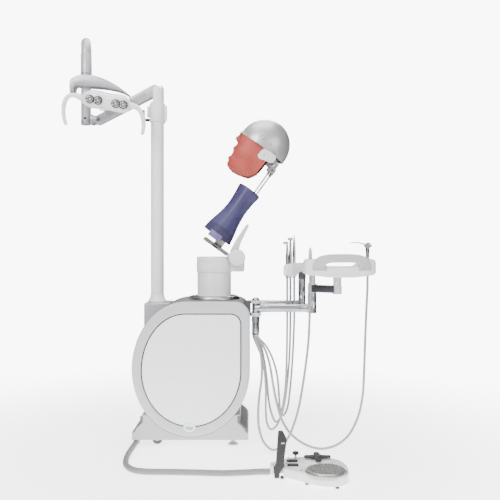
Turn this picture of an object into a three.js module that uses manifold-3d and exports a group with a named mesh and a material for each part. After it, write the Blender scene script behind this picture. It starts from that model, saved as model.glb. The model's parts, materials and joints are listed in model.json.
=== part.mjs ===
// Mobile dental simulation unit: D-shaped cabinet on a plinth, light pole with a
// four-lens operating light, tilting torso with a phantom head and typodont jaws,
// delivery arm with instrument tray and hoses, and a foot control on the floor.
// Millimetres, +Z up, +X to the unit's right hand side, -Y towards the user.
import * as THREE from 'three';
import { mergeVertices } from 'three/addons/utils/BufferGeometryUtils.js';
import Module from 'manifold-3d';

const wasm = await Module();
wasm.setup();

// ---------------------------------------------------------------- dimensions
const SHIFT_X = 154.771;               // moves the model so the box is centred on the origin
const SHIFT_Y = 53.0;
const GAP = 0.3;                      // clearance between touching pieces

const CAB_X0 = -475, CAB_X1 = 0, CAB_Z0 = 42, CAB_Z1 = 584;   // D-shaped cabinet
const CAB_DEPTH = 380, FRAME_DEPTH = 30, SHELL_WALL = 6;
const DOOR_X0 = -436, DOOR_X1 = -36, DOOR_Z0 = 84, DOOR_Z1 = 536, DOOR_GAP = 1.5;
const CASTOR = { x: -392, yF: 62, yR: 318, r: 22, w: 18, trail: 14 };
const FOOT = { x: -69, yF: 50, yR: 330, r: 21 };
const POLE = { x: -410, y: 300, r: 29, z0: 564, z1: 1438.7 };
const ARM_L0 = [-420, 1497], ARM_L1 = [-668, 1366];           // light arm pivots (x, z) at POLE.y
const GOOSE_R = { x: -726, y: 300 }, GOOSE_F = { x: -699, y: 190 }, GOOSE_TUBE = 22;
const LAMP_C = [-605.6, 150, 1418.6], LAMP_ROLL = 9, LAMP_FACE = 15;
const COL = { x: -153, y: 200, r: 72, rs: 75, z0: 584, z1: 698, z2: 764 };
const PIVOT = [-55, 200, 760], TILT = 36;                     // torso tilt axis and rest angle
const POST = { x: 23, y: 40, r: 15, z0: 453.5, z1: 592 };     // delivery post
const ARM_Z = 557, ARM_R = 17, RISER_X = 252;
const TUBE2 = { y: 140, z: 569, r: 13, x1: 218 };
const TRAYP = { x: 344, y: -40 };
const HOSE_R = 4.5, PEDAL_HOSE_R = 11;
const DISC = { x: 258, y: -419, r: 67 }, CROSS = { x: 240, y: -302 };

// ------------------------------------------------------------------- helpers
const D2R = Math.PI / 180;
const root = new THREE.Group();
root.position.set(SHIFT_X, SHIFT_Y, 0);

function bare(g) {
  const c = g.index ? g.toNonIndexed() : g.clone();
  for (const k of Object.keys(c.attributes)) if (k !== 'position') c.deleteAttribute(k);
  const m = mergeVertices(c, 1e-4);
  const src = m.index.array, out = [];
  for (let i = 0; i < src.length; i += 3) {
    const [a, b, d] = [src[i], src[i + 1], src[i + 2]];
    if (a !== b && b !== d && a !== d) out.push(a, b, d);
  }
  m.setIndex(out);
  let v = 0;
  const p = m.attributes.position;
  const A = new THREE.Vector3(), B = new THREE.Vector3(), C = new THREE.Vector3();
  for (let i = 0; i < out.length; i += 3) {
    A.fromBufferAttribute(p, out[i]); B.fromBufferAttribute(p, out[i + 1]); C.fromBufferAttribute(p, out[i + 2]);
    v += A.dot(B.cross(C));
  }
  if (v < 0) {
    for (let i = 0; i < out.length; i += 3) { const t = out[i]; out[i] = out[i + 1]; out[i + 1] = t; }
    m.setIndex(out);
  }
  return m;
}
function solid(g) {
  if (g instanceof wasm.Manifold) return g;
  const m = bare(g);
  return new wasm.Manifold(new wasm.Mesh({
    numProp: 3,
    vertProperties: new Float32Array(m.attributes.position.array),
    triVerts: new Uint32Array(m.index.array),
  }));
}
const join = (a, ...bs) => bs.reduce((s, b) => s.add(solid(b)), solid(a));
const cut = (a, ...bs) => bs.reduce((s, b) => s.subtract(solid(b)), solid(a));
const meet = (a, ...bs) => bs.reduce((s, b) => s.intersect(solid(b)), solid(a));
function geometry(s) {
  if (!(s instanceof wasm.Manifold)) return bare(s);
  const m = s.getMesh();
  const n = m.numProp, count = m.vertProperties.length / n;
  const pos = new Float32Array(count * 3);
  for (let i = 0; i < count; i++) for (let k = 0; k < 3; k++) pos[3 * i + k] = m.vertProperties[n * i + k];
  const g = new THREE.BufferGeometry();
  g.setAttribute('position', new THREE.BufferAttribute(pos, 3));
  g.setIndex(new THREE.BufferAttribute(new Uint32Array(m.triVerts), 1));
  return g;
}
function put(parent, name, shape, color, roughness, metalness) {
  const g = geometry(shape);
  g.computeVertexNormals();
  const mesh = new THREE.Mesh(g, new THREE.MeshStandardMaterial({ color, roughness, metalness }));
  mesh.name = name;
  parent.add(mesh);
  return mesh;
}
const toShape = (pts, holes = []) => {
  const s = new THREE.Shape(pts.map(([x, y]) => new THREE.Vector2(x, y)));
  for (const h of holes) s.holes.push(new THREE.Path(h.map(([x, y]) => new THREE.Vector2(x, y))));
  return s;
};
// outline in X-Z, thick along Y
function prismY(pts, y0, y1, holes = []) {
  const g = new THREE.ExtrudeGeometry(toShape(pts, holes), { depth: y1 - y0, bevelEnabled: false, steps: 1 });
  g.rotateX(Math.PI / 2);
  g.translate(0, y1, 0);
  return g;
}
// outline in X-Y, thick along Z
function prismZ(pts, z0, z1, holes = []) {
  const g = new THREE.ExtrudeGeometry(toShape(pts, holes), { depth: z1 - z0, bevelEnabled: false, steps: 1 });
  g.translate(0, 0, z0);
  return g;
}
// outline in Y-Z, thick along X
function prismX(pts, x0, x1) {
  const g = new THREE.ExtrudeGeometry(toShape(pts), { depth: x1 - x0, bevelEnabled: false, steps: 1 });
  g.applyMatrix4(new THREE.Matrix4().set(0, 0, 1, x0, 1, 0, 0, 0, 0, 1, 0, 0, 0, 0, 0, 1));
  return g;
}
const box = (x0, x1, y0, y1, z0, z1) => {
  const g = new THREE.BoxGeometry(x1 - x0, y1 - y0, z1 - z0);
  g.translate((x0 + x1) / 2, (y0 + y1) / 2, (z0 + z1) / 2);
  return g;
};
const cylZ = (x, y, z0, z1, r, seg = 24, rTop = r) => {
  const g = new THREE.CylinderGeometry(rTop, r, z1 - z0, seg);
  g.rotateX(Math.PI / 2);
  g.translate(x, y, (z0 + z1) / 2);
  return g;
};
const cylY = (x, z, y0, y1, r, seg = 24) => {
  const g = new THREE.CylinderGeometry(r, r, y1 - y0, seg);
  g.translate(x, (y0 + y1) / 2, z);
  return g;
};
const cylX = (y, z, x0, x1, r, seg = 24) => {
  const g = new THREE.CylinderGeometry(r, r, x1 - x0, seg);
  g.rotateZ(Math.PI / 2);
  g.translate((x0 + x1) / 2, y, z);
  return g;
};
const ball = (x, y, z, a, b, c, w = 20, h = 12) => {
  const g = new THREE.SphereGeometry(1, w, h);
  g.rotateX(Math.PI / 2);
  g.scale(a, b, c);
  g.translate(x, y, z);
  return g;
};
// round turned piece on a vertical axis, profile [[radius, height], ...] from axis to axis
function turned(x, y, profile, seg = 20) {
  const g = new THREE.LatheGeometry(profile.map(([r, h]) => new THREE.Vector2(r, h)), seg);
  g.rotateX(Math.PI / 2);
  g.translate(x, y, 0);
  return g;
}
function tube(points, r, sides, steps, tension = 0.5) {
  const curve = new THREE.CatmullRomCurve3(points.map((p) => new THREE.Vector3(...p)), false, 'centripetal', tension);
  const ring = [];
  for (let i = 0; i < sides; i++) ring.push([r * Math.cos(2 * Math.PI * i / sides), r * Math.sin(2 * Math.PI * i / sides)]);
  return new THREE.ExtrudeGeometry(toShape(ring), { steps, bevelEnabled: false, extrudePath: curve });
}
// closed loft through rings of equal point count, bottom ring first
function loft(rings) {
  const n = rings[0].length, pos = [], idx = [];
  for (const r of rings) for (const p of r) pos.push(...p);
  for (let k = 0; k < rings.length - 1; k++) {
    for (let i = 0; i < n; i++) {
      const a = k * n + i, b = k * n + (i + 1) % n, c = a + n, d = b + n;
      idx.push(a, b, d, a, d, c);
    }
  }
  const cap = (k, flip) => {
    const c = pos.length / 3;
    const m = [0, 1, 2].map((j) => rings[k].reduce((s, p) => s + p[j], 0) / n);
    pos.push(...m);
    for (let i = 0; i < n; i++) {
      const a = k * n + i, b = k * n + (i + 1) % n;
      if (flip) idx.push(c, b, a); else idx.push(c, a, b);
    }
  };
  cap(0, true);
  cap(rings.length - 1, false);
  const g = new THREE.BufferGeometry();
  g.setAttribute('position', new THREE.BufferAttribute(new Float32Array(pos), 3));
  g.setIndex(idx);
  return g;
}
const ellipse = (cx, a, b, z, n = 24) => Array.from({ length: n }, (_, i) => {
  const t = 2 * Math.PI * i / n;
  return [cx + a * Math.cos(t), b * Math.sin(t), z];
});
const arc = (cx, cz, a, b, t0, t1, n) => Array.from({ length: n + 1 }, (_, i) => {
  const t = (t0 + (t1 - t0) * i / n) * D2R;
  return [cx + a * Math.cos(t), cz + b * Math.sin(t)];
});
// D-shaped outline: flat top, small round top right corner, elliptical left and bottom
function dOutline(x0, x1, z0, z1, xt0, rc, zc, d = 0, n = 9) {
  const X0 = x0 - d, X1 = x1 + d, Z0 = z0 - d, Z1 = z1 + d, r = rc + d, xb = (x0 + x1) / 2;
  return [
    [xt0, Z1],
    ...arc(xt0, zc, xt0 - X0, Z1 - zc, 90, 180, n).slice(1),
    ...arc(xb, zc, xb - X0, zc - Z0, 180, 270, n).slice(1),
    ...arc(xb, zc, X1 - xb, zc - Z0, 270, 360, n).slice(1),
    ...arc(X1 - r, Z1 - r, r, r, 0, 90, 4),
  ];
}
const cabOutline = (d = 0) => dOutline(CAB_X0, CAB_X1, CAB_Z0, CAB_Z1, -260, 60, 312, d);
const doorOutline = (d = 0) => dOutline(DOOR_X0, DOOR_X1, DOOR_Z0, DOOR_Z1, -260, 42, 308, d);

// ------------------------------------------------------------------- cabinet
const plinthProfile = [[-474, 25], [-6, 25], [-6, 60], [-12, 72], [-40, 98], [-40, 130], [-436, 130], [-436, 98], [-466, 72], [-474, 60]];
put(root, 'base_plinth', cut(
  join(prismY(plinthProfile, 4, 376), box(-474, -451, 46, 84, 1, 26)),
  prismY(cabOutline(GAP), 0, 380),
  cylZ(CASTOR.x, CASTOR.yF, 20, 62, 42, 20),
  cylZ(CASTOR.x, CASTOR.yR, 20, 62, 42, 20),
), 0xd9dadb, 0.45, 0.0);
put(root, 'cabinet_shell', prismY(cabOutline(0), FRAME_DEPTH + GAP, CAB_DEPTH - 10, [cabOutline(-SHELL_WALL)]), 0x8f9194, 0.5, 0.1);
put(root, 'front_frame', prismY(cabOutline(0), 0, FRAME_DEPTH, [doorOutline(DOOR_GAP)]), 0xe4e5e6, 0.4, 0.0);
put(root, 'rear_cover', prismY(cabOutline(0), CAB_DEPTH - 10 + GAP, CAB_DEPTH), 0xdedfe0, 0.45, 0.0);
put(root, 'pole_housing', cut(
  box(-456, -345, 205, 372, 300, POLE.z0),
  prismY(cabOutline(GAP), 0, 400),
  box(-480, -340, 200, 400, 200, 424),
), 0xd2d1d6, 0.4, 0.1);
put(root, 'inner_shelf', box(-425, -50, 45, 355, 196, 204), 0xb9bcbf, 0.5, 0.4);
put(root, 'power_supply', box(-200, -70, 120, 300, 204.3, 300), 0x44474a, 0.6, 0.2);
put(root, 'water_bottle', turned(-330, 200, [[0, 204.3], [44, 204.3], [46, 212], [46, 350], [38, 376], [20, 392], [20, 412], [24, 412.5], [24, 436], [0, 436]], 16), 0xcfe0ea, 0.15, 0.0);
for (const [n, y] of [['foot_front', FOOT.yF], ['foot_rear', FOOT.yR]]) {
  put(root, n, turned(FOOT.x, y, [[0, 0], [19, 0], [FOOT.r, 2], [FOOT.r, 6], [9, 13], [6, 14], [6, 24.7], [0, 24.7]], 16), 0x8a8c90, 0.25, 0.9);
}

// front door with its concealed hinge leaves and finger latch
put(root, 'front_door', join(
  prismY(doorOutline(0), 0, 22),
  prismY([[-217, 90], [-218, 80], [-224, 71], [-232, 67], [-242, 65], [-252, 67], [-260, 71], [-266, 80], [-267, 90]], -4, -0.4),
  box(-260, -224, -4, 2, 88, 97),
  box(-80, -46, 21, 34, 450, 480),
  box(-80, -46, 21, 34, 316, 346),
), 0xf0f0f2, 0.35, 0.0);

// castors on the left, each a swivel fork and a wheel
for (const [n, y] of [['front', CASTOR.yF], ['rear', CASTOR.yR]]) {
  const fork = join(
    cylZ(CASTOR.x, y, 53, 61.7, 11, 16),
    box(CASTOR.x - 14, CASTOR.x + CASTOR.trail + 10, y - 14, y + 14, 47, 54),
    prismY([[CASTOR.x - 6, 48], [CASTOR.x + 22, 48], [CASTOR.x + 20, 16], [CASTOR.x + 8, 16]], y - 14, y - 10.5),
    prismY([[CASTOR.x - 6, 48], [CASTOR.x + 22, 48], [CASTOR.x + 20, 16], [CASTOR.x + 8, 16]], y + 10.5, y + 14),
  );
  put(root, `castor_fork_${n}`, fork, 0x9a9da1, 0.3, 0.9);
  put(root, `castor_wheel_${n}`, cylY(CASTOR.x + CASTOR.trail, CASTOR.r, y - 9, y + 9, CASTOR.r, 24), 0x2a2b2d, 0.7, 0.0);
}

// ----------------------------------------------------------- operating light
put(root, 'light_post', join(
  turned(POLE.x, POLE.y, [[0, POLE.z0 + GAP], [41, POLE.z0 + GAP], [41, 569], [31, 590], [0, 590]], 20),
  cylZ(POLE.x, POLE.y, 580, POLE.z1, POLE.r - 0.3, 20),
), 0xe9e9ec, 0.35, 0.0);
put(root, 'post_collar', join(
  prismZ(arc(POLE.x, POLE.y, 34, 34, 0, 345, 23), 1357, 1438.7, [arc(POLE.x, POLE.y, 29.3, 29.3, 0, 342, 19)]),
  box(-470, -442.5, 293, 307, 1362, 1374),
  box(-474, -462, 293, 307, 1362, 1416),
  box(-377.5, -368, 290, 310, 1365, 1430),
), 0xe4e4e7, 0.35, 0.0);
put(root, 'light_elbow', cut(
  join(cylZ(POLE.x, POLE.y, 1439, 1500, 29, 20), ball(POLE.x, POLE.y, 1500, 29, 29, 28, 20, 10)),
  box(-470, -393, 276.5, 323.5, 1446, 1540),
), 0xe4e4e7, 0.35, 0.0);
{
  const [ax, az] = ARM_L0, [bx, bz] = ARM_L1;
  const t = Math.atan2(bz - az, bx - ax) / D2R;
  put(root, 'light_arm', prismY([...arc(ax, az, 24, 24, t + 90, t + 270, 8).map((p) => p).reverse(), ...arc(bx, bz, 20, 20, t - 90, t + 90, 8).reverse()].reverse(), 279, 321), 0xc9c9cd, 0.35, 0.3);
}
put(root, 'arm_knuckle', join(
  box(-703.7, -689.5, 282, 318, 1345, 1388),
  box(-703.7, -652, 274.5, 278.6, 1351, 1381),
  box(-703.7, -652, 321.4, 325.5, 1351, 1381),
  box(-703.7, -689.5, 274.5, 325.5, 1351, 1381),
), 0xb4b4b9, 0.35, 0.4);
{
  const pts = [];
  const mx = (GOOSE_R.x + GOOSE_F.x) / 2, my = (GOOSE_R.y + GOOSE_F.y) / 2;
  const dx = (GOOSE_F.x - GOOSE_R.x) / 2, dy = (GOOSE_F.y - GOOSE_R.y) / 2, R = Math.hypot(dx, dy);
  pts.push([GOOSE_R.x, GOOSE_R.y, 1346], [GOOSE_R.x, GOOSE_R.y, 1430], [GOOSE_R.x, GOOSE_R.y, 1520], [GOOSE_R.x, GOOSE_R.y, 1600]);
  for (let i = 0; i <= 8; i++) {
    const a = Math.PI * i / 8;
    pts.push([mx - dx * Math.cos(a), my - dy * Math.cos(a), 1714 - GOOSE_TUBE - R + R * Math.sin(a)]);
  }
  pts.push([GOOSE_F.x, GOOSE_F.y, 1600], [GOOSE_F.x, GOOSE_F.y, 1545]);
  put(root, 'gooseneck', tube(pts, GOOSE_TUBE, 14, 18), 0xd4d4d8, 0.35, 0.3);
}
put(root, 'lamp_yoke', join(
  prismY([[-761, 1458], [-761, 1512], [-747, 1522], [-722, 1532], [-676, 1532], [-640, 1523], [-602, 1509], [-553, 1482], [-508, 1447], [-546, 1463], [-600, 1475], [-678, 1481], [-736, 1485], [-741, 1478], [-741, 1458]], 152, 206),
  cylZ(GOOSE_F.x, GOOSE_F.y, 1526, 1544.7, 24, 20),
), 0xb5b5ba, 0.35, 0.3);
const lamp = new THREE.Group();
lamp.position.set(...LAMP_C);
lamp.rotation.set(LAMP_FACE * D2R, LAMP_ROLL * D2R, 0, 'YXZ');
root.add(lamp);
const lampPlan = [[-104, -14], [-92, -30], [-60, -38], [0, -34], [60, -38], [92, -30], [104, -14], [106, 0], [98, 22], [70, 38], [0, 43], [-70, 38], [-98, 22], [-106, 0]];
const lampFront = [[-106, 0], [-102, 22], [-84, 36], [-40, 40], [0, 34], [40, 38], [80, 34], [100, 18], [106, -4], [98, -26], [75, -38], [40, -38], [0, -34], [-40, -36], [-84, -34], [-102, -20]];
put(lamp, 'lamp_body', meet(prismY(lampFront, -60, 60), prismZ(lampPlan, -60, 60), cylX(0, 0, -120, 120, 42, 20)), 0xf1f1f3, 0.3, 0.0);
put(lamp, 'lens_panel', join(
  box(-80, 98, -41.5, -38.4, -10, 10),
  cylY(-60, 2, -44, -38.4, 18, 18), cylY(-26, 2, -44, -38.4, 18, 18),
  cylY(49, 0, -44, -38.4, 18, 18), cylY(81, 0, -44, -38.4, 18, 18),
), 0x9aa0a6, 0.1, 0.3);
put(lamp, 'lamp_handle_left', tube([[-107, -2, 0], [-135, -6, 2], [-160, -10, -4], [-172, -14, -28], [-174, -16, -62], [-166, -18, -98], [-158, -18, -118]], 9, 10, 14), 0xeeeef0, 0.4, 0.0);
put(lamp, 'lamp_handle_right', tube([[107.5, -2, -2], [128, -6, -4], [150, -10, -18], [166, -14, -46], [172, -16, -80], [170, -18, -108]], 9, 10, 12), 0xeeeef0, 0.4, 0.0);

// --------------------------------------------------------- column and torso
put(root, 'column_base', turned(COL.x, COL.y, [[0, COL.z0 + GAP], [108, COL.z0 + GAP], [108, 592], [100, 598], [COL.r, 598], [COL.r, COL.z1 - GAP], [0, COL.z1 - GAP]], 28), 0xe8e8ea, 0.35, 0.1);
put(root, 'column_sleeve', join(
  cut(join(cylZ(COL.x, COL.y, COL.z1, COL.z2, COL.rs, 28), box(-150, -26, 172, 228, COL.z1 + 2, 726)), cylY(PIVOT[0], PIVOT[2], 120, 280, 38, 24)),
  cut(join(cylY(PIVOT[0], PIVOT[2], 172, 228, 34, 24), box(-85, -24, 172, 228, 704, 742)), cylY(PIVOT[0], PIVOT[2], 160, 240, 8.6, 14)),
), 0xeaeaec, 0.35, 0.0);

// Everything below hangs on the tilt axis: local Z runs up the spine, local -X is the chest side
const torso = new THREE.Group();
torso.position.set(...PIVOT);
torso.rotation.y = TILT * D2R;
root.add(torso);
put(torso, 'tilt_arm', join(
  prismY([[-36, 0], [-41, 12], [-48, 60], [-50, 140], [-38, 140], [-24, 60], [-12, 28], [10, 20], [10, -10]], -50, -28.4),
  box(-42, -26, -50, -28.4, -18, -7),
  cylY(0, 0, -50, -28.4, 34, 24),
  cylY(0, 0, -66, -49, 35.5, 28),
  cylY(0, 0, -30, 28, 8, 12),
  box(-162, -41, -58, 58, -22, -7),
), 0xd8d9da, 0.35, 0.2);
const sectionsOut = [[22, -125, 67, 95], [60, -125, 62, 92], [110, -125, 51, 82], [166, -126, 44, 74], [225, -126, 47, 71], [266, -126, 53, 73]];
const wallT = 4;
put(torso, 'torso_cover', cut(
  loft(sectionsOut.map(([z, c, a, b]) => ellipse(c, a, b, z))),
  loft(sectionsOut.map(([z, c, a, b], i) => ellipse(c, a - wallT, b - wallT, i === 0 ? 20 : i === 5 ? 262 : z))),
  box(-113, -83, -21, 21, 255, 275),
), 0x58568a, 0.55, 0.0);
put(torso, 'neck_socket', cut(
  box(-117, -79, -22, 22, -6.7, 95),
  cylZ(-104, -12, -1, 130, 4.8, 12), cylZ(-92, 12, -1, 130, 4.8, 12),
), 0x7b7e82, 0.4, 0.8);
put(torso, 'neck_rods', join(
  cylZ(-104, -12, 10, 392, 4, 10), cylZ(-92, 12, 10, 392, 4, 10),
  box(-120, -84, -19, 19, 376, 400),
  cylY(-107, 404, -19, 19, 12, 16),
), 0xb9bcc0, 0.15, 1.0);

// phantom head
const outer = join(ball(-188, 0, 452, 110, 84, 117, 24, 12), ball(-250, 0, 438, 54, 60, 40, 16, 10));
put(torso, 'skull_helmet', cut(outer, ball(-188, 0, 452, 105, 79, 112, 24, 12), box(-400, 0, -120, 120, 300, 437)), 0xc6c8cb, 0.3, 0.7);
put(torso, 'skull_base', join(
  prismZ(ellipse(-188, 92, 66, 0, 24).map(([x, y]) => [x, y]), 428, 436.7),
  box(-137, -114, 40, 78.5, 430, 436.7), box(-137, -114, -78.5, -40, 430, 436.7),
  prismY([[-180, 395], [-168, 390], [-122, 408], [-113, 432], [-113, 436.7], [-180, 436.7]], 75.8, 78.5),
  prismY([[-180, 395], [-168, 390], [-122, 408], [-113, 432], [-113, 436.7], [-180, 436.7]], -78.5, -75.8),
  box(-127, -89, 19.6, 26, 392, 430), box(-127, -89, -26, -19.6, 392, 430),
  box(-172, -158, -20, 20, 396, 430),
  cylY(-165, 400, -25.4, 25.4, 4, 10),
), 0x9fa3a8, 0.3, 0.9);
{
  const side = [[-296, 436.5], [-292, 428], [-287, 404], [-284, 384], [-280, 350], [-277, 318], [-269, 300], [-257, 289], [-235, 284], [-200, 291], [-163, 304], [-143, 340], [-139, 380], [-139, 436.5]];
  const sideIn = [[-291, 460], [-288, 428], [-282, 404], [-279, 384], [-275, 350], [-272, 319], [-264, 303], [-254, 294], [-235, 289.5], [-202, 296], [-167, 308], [-148, 341], [-130, 372], [-130, 460]];
  const plan = (k, back) => [[back, -74 + k], [-200, -74 + k], [-245, -66 + k], [-275 + k, -48 + k], [-291 + k, -25 + k / 2], [-298 + k, 0], [-291 + k, 25 - k / 2], [-275 + k, 48 - k], [-245, 66 - k], [-200, 74 - k], [back, 74 - k]];
  const front = (k, top) => [[-74 + k, top], [-74 + k, 380], [-66 + k, 341], [-53 + k, 306 + k / 2], [-36 + k, 280 + k], [36 - k, 280 + k], [53 - k, 306 + k / 2], [66 - k, 341], [74 - k, 380], [74 - k, top]];
  const skin = meet(prismY(side, -90, 90), prismZ(plan(0, -139), 270, 440), prismX(front(0, 440), -320, -120));
  const hollow = meet(prismY(sideIn, -90, 90), prismZ(plan(4.5, -125), 270, 470), prismX(front(4.5, 470), -320, -120));
  const nose = prismY([[-286, 436], [-298, 424], [-308, 412], [-303, 403], [-283, 401]], -13, 13);
  put(torso, 'face_mask', cut(join(skin, nose), hollow, prismX([[-27, 336], [-20, 324], [20, 324], [27, 336], [27, 362], [20, 374], [-20, 374], [-27, 362]], -330, -250)), 0xc86e64, 0.6, 0.0);
}
const arch = (front, back, half, w) => {
  const o = arc(back, 0, back - front, half, 90, 270, 12), i = arc(back, 0, back - front - w, half - w, 270, 90, 12);
  return [...o, ...i];
};
put(torso, 'upper_jaw', join(
  prismZ(arch(-268, -216, 31, 12), 366, 404),
  box(-256, -196, -26, 26, 398, 427.7),
), 0xf0e6dc, 0.3, 0.0);
put(torso, 'lower_jaw', join(
  prismZ(arch(-250, -202, 29, 12), 300, 330),
  prismY([[-214, 306], [-188, 310], [-158, 392], [-158, 408], [-172, 408], [-176, 392], [-192, 324], [-214, 324]], 25.7, 31),
  prismY([[-214, 306], [-188, 310], [-158, 392], [-158, 408], [-172, 408], [-176, 392], [-192, 324], [-214, 324]], -31, -25.7),
  box(-208, -192, -30, 30, 307, 315),
), 0xf0e6dc, 0.3, 0.0);

// ------------------------------------------------------------- delivery unit
const ringPlan = (x, y, r, n = 20) => arc(x, y, r, r, 0, 360 - 360 / n, n - 1);
put(root, 'arm_bracket', join(
  cut(box(-26, 3, 22, 58, 524, 588), prismY(cabOutline(GAP), 0, 400)),
  prismZ([[0, 24], [23, 18], ...arc(23, 40, 22, 22, -80, 80, 8), [23, 62], [0, 56]], 576.5, 588, [ringPlan(23, 40, 15.6, 18)]),
  prismZ([[0, 24], [23, 18], ...arc(23, 40, 22, 22, -80, 80, 8), [23, 62], [0, 56]], 524, 537.5, [ringPlan(23, 40, 15.6, 18)]),
), 0x6d7074, 0.35, 0.7);
put(root, 'delivery_arm', join(
  cylZ(POST.x, POST.y, POST.z0, POST.z1, POST.r, 20),
  ball(POST.x, POST.y, POST.z1, 14.9, 14.9, 9, 20, 8),
  cylX(POST.y, ARM_Z, POST.x, RISER_X, ARM_R, 20),
  cylZ(RISER_X, POST.y, 536, 617.6, 17.5, 20),
  box(46, 72, 45, TUBE2.y, 562, 574),
  cylX(TUBE2.y, TUBE2.z, 34, TUBE2.x1, TUBE2.r, 16),
  cylZ(TUBE2.x1, TUBE2.y, 554, 669.7, 15, 20),
), 0xb7babd, 0.3, 0.85);
put(root, 'link_arm', join(
  cylZ(RISER_X, POST.y, 618, 656, 18, 20),
  cylZ(TRAYP.x, TRAYP.y, 618, 652, 18, 20),
  prismZ([[240.2, 26.4], [332.2, -53.6], [355.8, -26.4], [263.8, 53.6]], 622, 651.5),
  cylZ(RISER_X, POST.y, 655, 690, 13, 16),
), 0x6f7276, 0.35, 0.7);
const RACK_SLOTS = [[152.5, 70], [167, 93], [184, 116]];
put(root, 'instrument_rack', join(
  cut(
    meet(
      prismY([[134, 688], [134, 722], [146, 733], [176, 738], [242, 738], [242, 704], [210, 704], [198, 698], [190, 682], [142, 682]], 30, 180),
      prismZ([[136, 56], [152, 50], [172, 58], [204, 88], [240, 120], [240, 158], [204, 162], [168, 138], [140, 92]], 670, 750),
    ),
    ...RACK_SLOTS.map(([x, y]) => cylZ(x, y, 660, 760, 9, 14)),
  ),
  box(203, 234, 124, 156, 670, 705),
), 0xeeeeef, 0.4, 0.0);
const traySide = [[207, 702], [207, 740], [222, 757], [262, 757], [284, 738], [305, 727], [402, 727], [420, 738], [440, 757], [470, 757], [487, 742], [487, 708], [475, 697], [440, 692], [405, 687], [300, 687], [266, 692], [215, 697]];
const trayPlan = [[207, -95], [214, -118], [250, -136], [345, -142], [440, -136], [480, -118], [487, -95], [487, -35], [478, -14], [440, 4], [345, 16], [250, 4], [216, -14], [207, -35]];
const gripOut = [[238, 724], [244, 748], [262, 768], [300, 776], [350, 777], [400, 776], [438, 768], [456, 750], [462, 724]];
const gripIn = [[420, 724], [414, 736], [399, 743], [350, 744], [305, 743], [290, 736], [284, 724]];
put(root, 'tray_body', join(
  cut(
    meet(prismY(traySide, -150, 30), prismZ(trayPlan, 670, 780)),
    cylZ(236, -60, 660, 780, 9.5, 14), cylZ(460, -60, 660, 780, 9.5, 14),
  ),
  meet(prismY([...gripOut, ...gripIn], -160, -100), prismZ([[200, -110], [240, -128], [290, -140], [345, -146], [400, -140], [455, -128], [490, -110], [490, -126], [455, -144], [400, -156], [345, -160], [290, -156], [240, -144], [200, -126]], 700, 800)),
  prismZ([[284, -120], [420, -120], [420, -138], [345, -150], [284, -138]], 700, 722),
  prismZ([[238, -120], [292, -120], [292, -146], [238, -136]], 714, 730),
  prismZ([[412, -120], [462, -120], [462, -136], [412, -146]], 714, 730),
  cylZ(TRAYP.x, TRAYP.y, 652.4, 690, 16, 18),
), 0xf0f0f1, 0.35, 0.0);

// instruments, each resting in its own slot
const grip = (x, y, z0, prof) => turned(x, y, prof.map(([r, h]) => [r, z0 + h]), 12);
put(root, 'syringe', join(
  grip(460, -60, 690, [[0, 0], [6, 0], [7.5, 10], [7.5, 60], [6.5, 75], [8, 112], [0, 112]]),
  prismY([[451, 801], [471, 801], [477, 812], [462, 822], [452, 818], [448, 808]], -70, -50),
  tube([[454, -60, 812], [440, -60, 817], [424, -60, 821], [405, -60, 821], [393, -60, 819]], 2.4, 8, 8),
), 0xc3c5c8, 0.2, 1.0);
put(root, 'scaler_handpiece', grip(236, -60, 690, [[0, 0], [6, 0], [7.5, 12], [7.5, 78], [7, 96], [5, 108], [2.5, 114], [0, 115]]), 0xc9cbd0, 0.3, 0.5);
put(root, 'handpiece_a', join(grip(RACK_SLOTS[0][0], RACK_SLOTS[0][1], 676, [[0, 0], [6, 0], [6.8, 10], [6.8, 90], [5, 110], [4.5, 142], [0, 142]]),
  cylX(RACK_SLOTS[0][1], 821, 138, 159, 6, 12)), 0xb3ada5, 0.25, 0.9);
put(root, 'handpiece_b', join(grip(RACK_SLOTS[1][0], RACK_SLOTS[1][1], 676, [[0, 0], [6, 0], [6.8, 10], [6.8, 100], [5, 122], [4.5, 160], [0, 160]]),
  cylX(RACK_SLOTS[1][1], 838, 156, 178, 6, 12)), 0xb3ada5, 0.25, 0.9);
put(root, 'handpiece_c', grip(RACK_SLOTS[2][0], RACK_SLOTS[2][1], 676, [[0, 0], [6, 0], [6.8, 10], [6.8, 110], [5.5, 140], [3.5, 165], [1.2, 184], [0, 184]]), 0xb3ada5, 0.25, 0.9);

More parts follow.
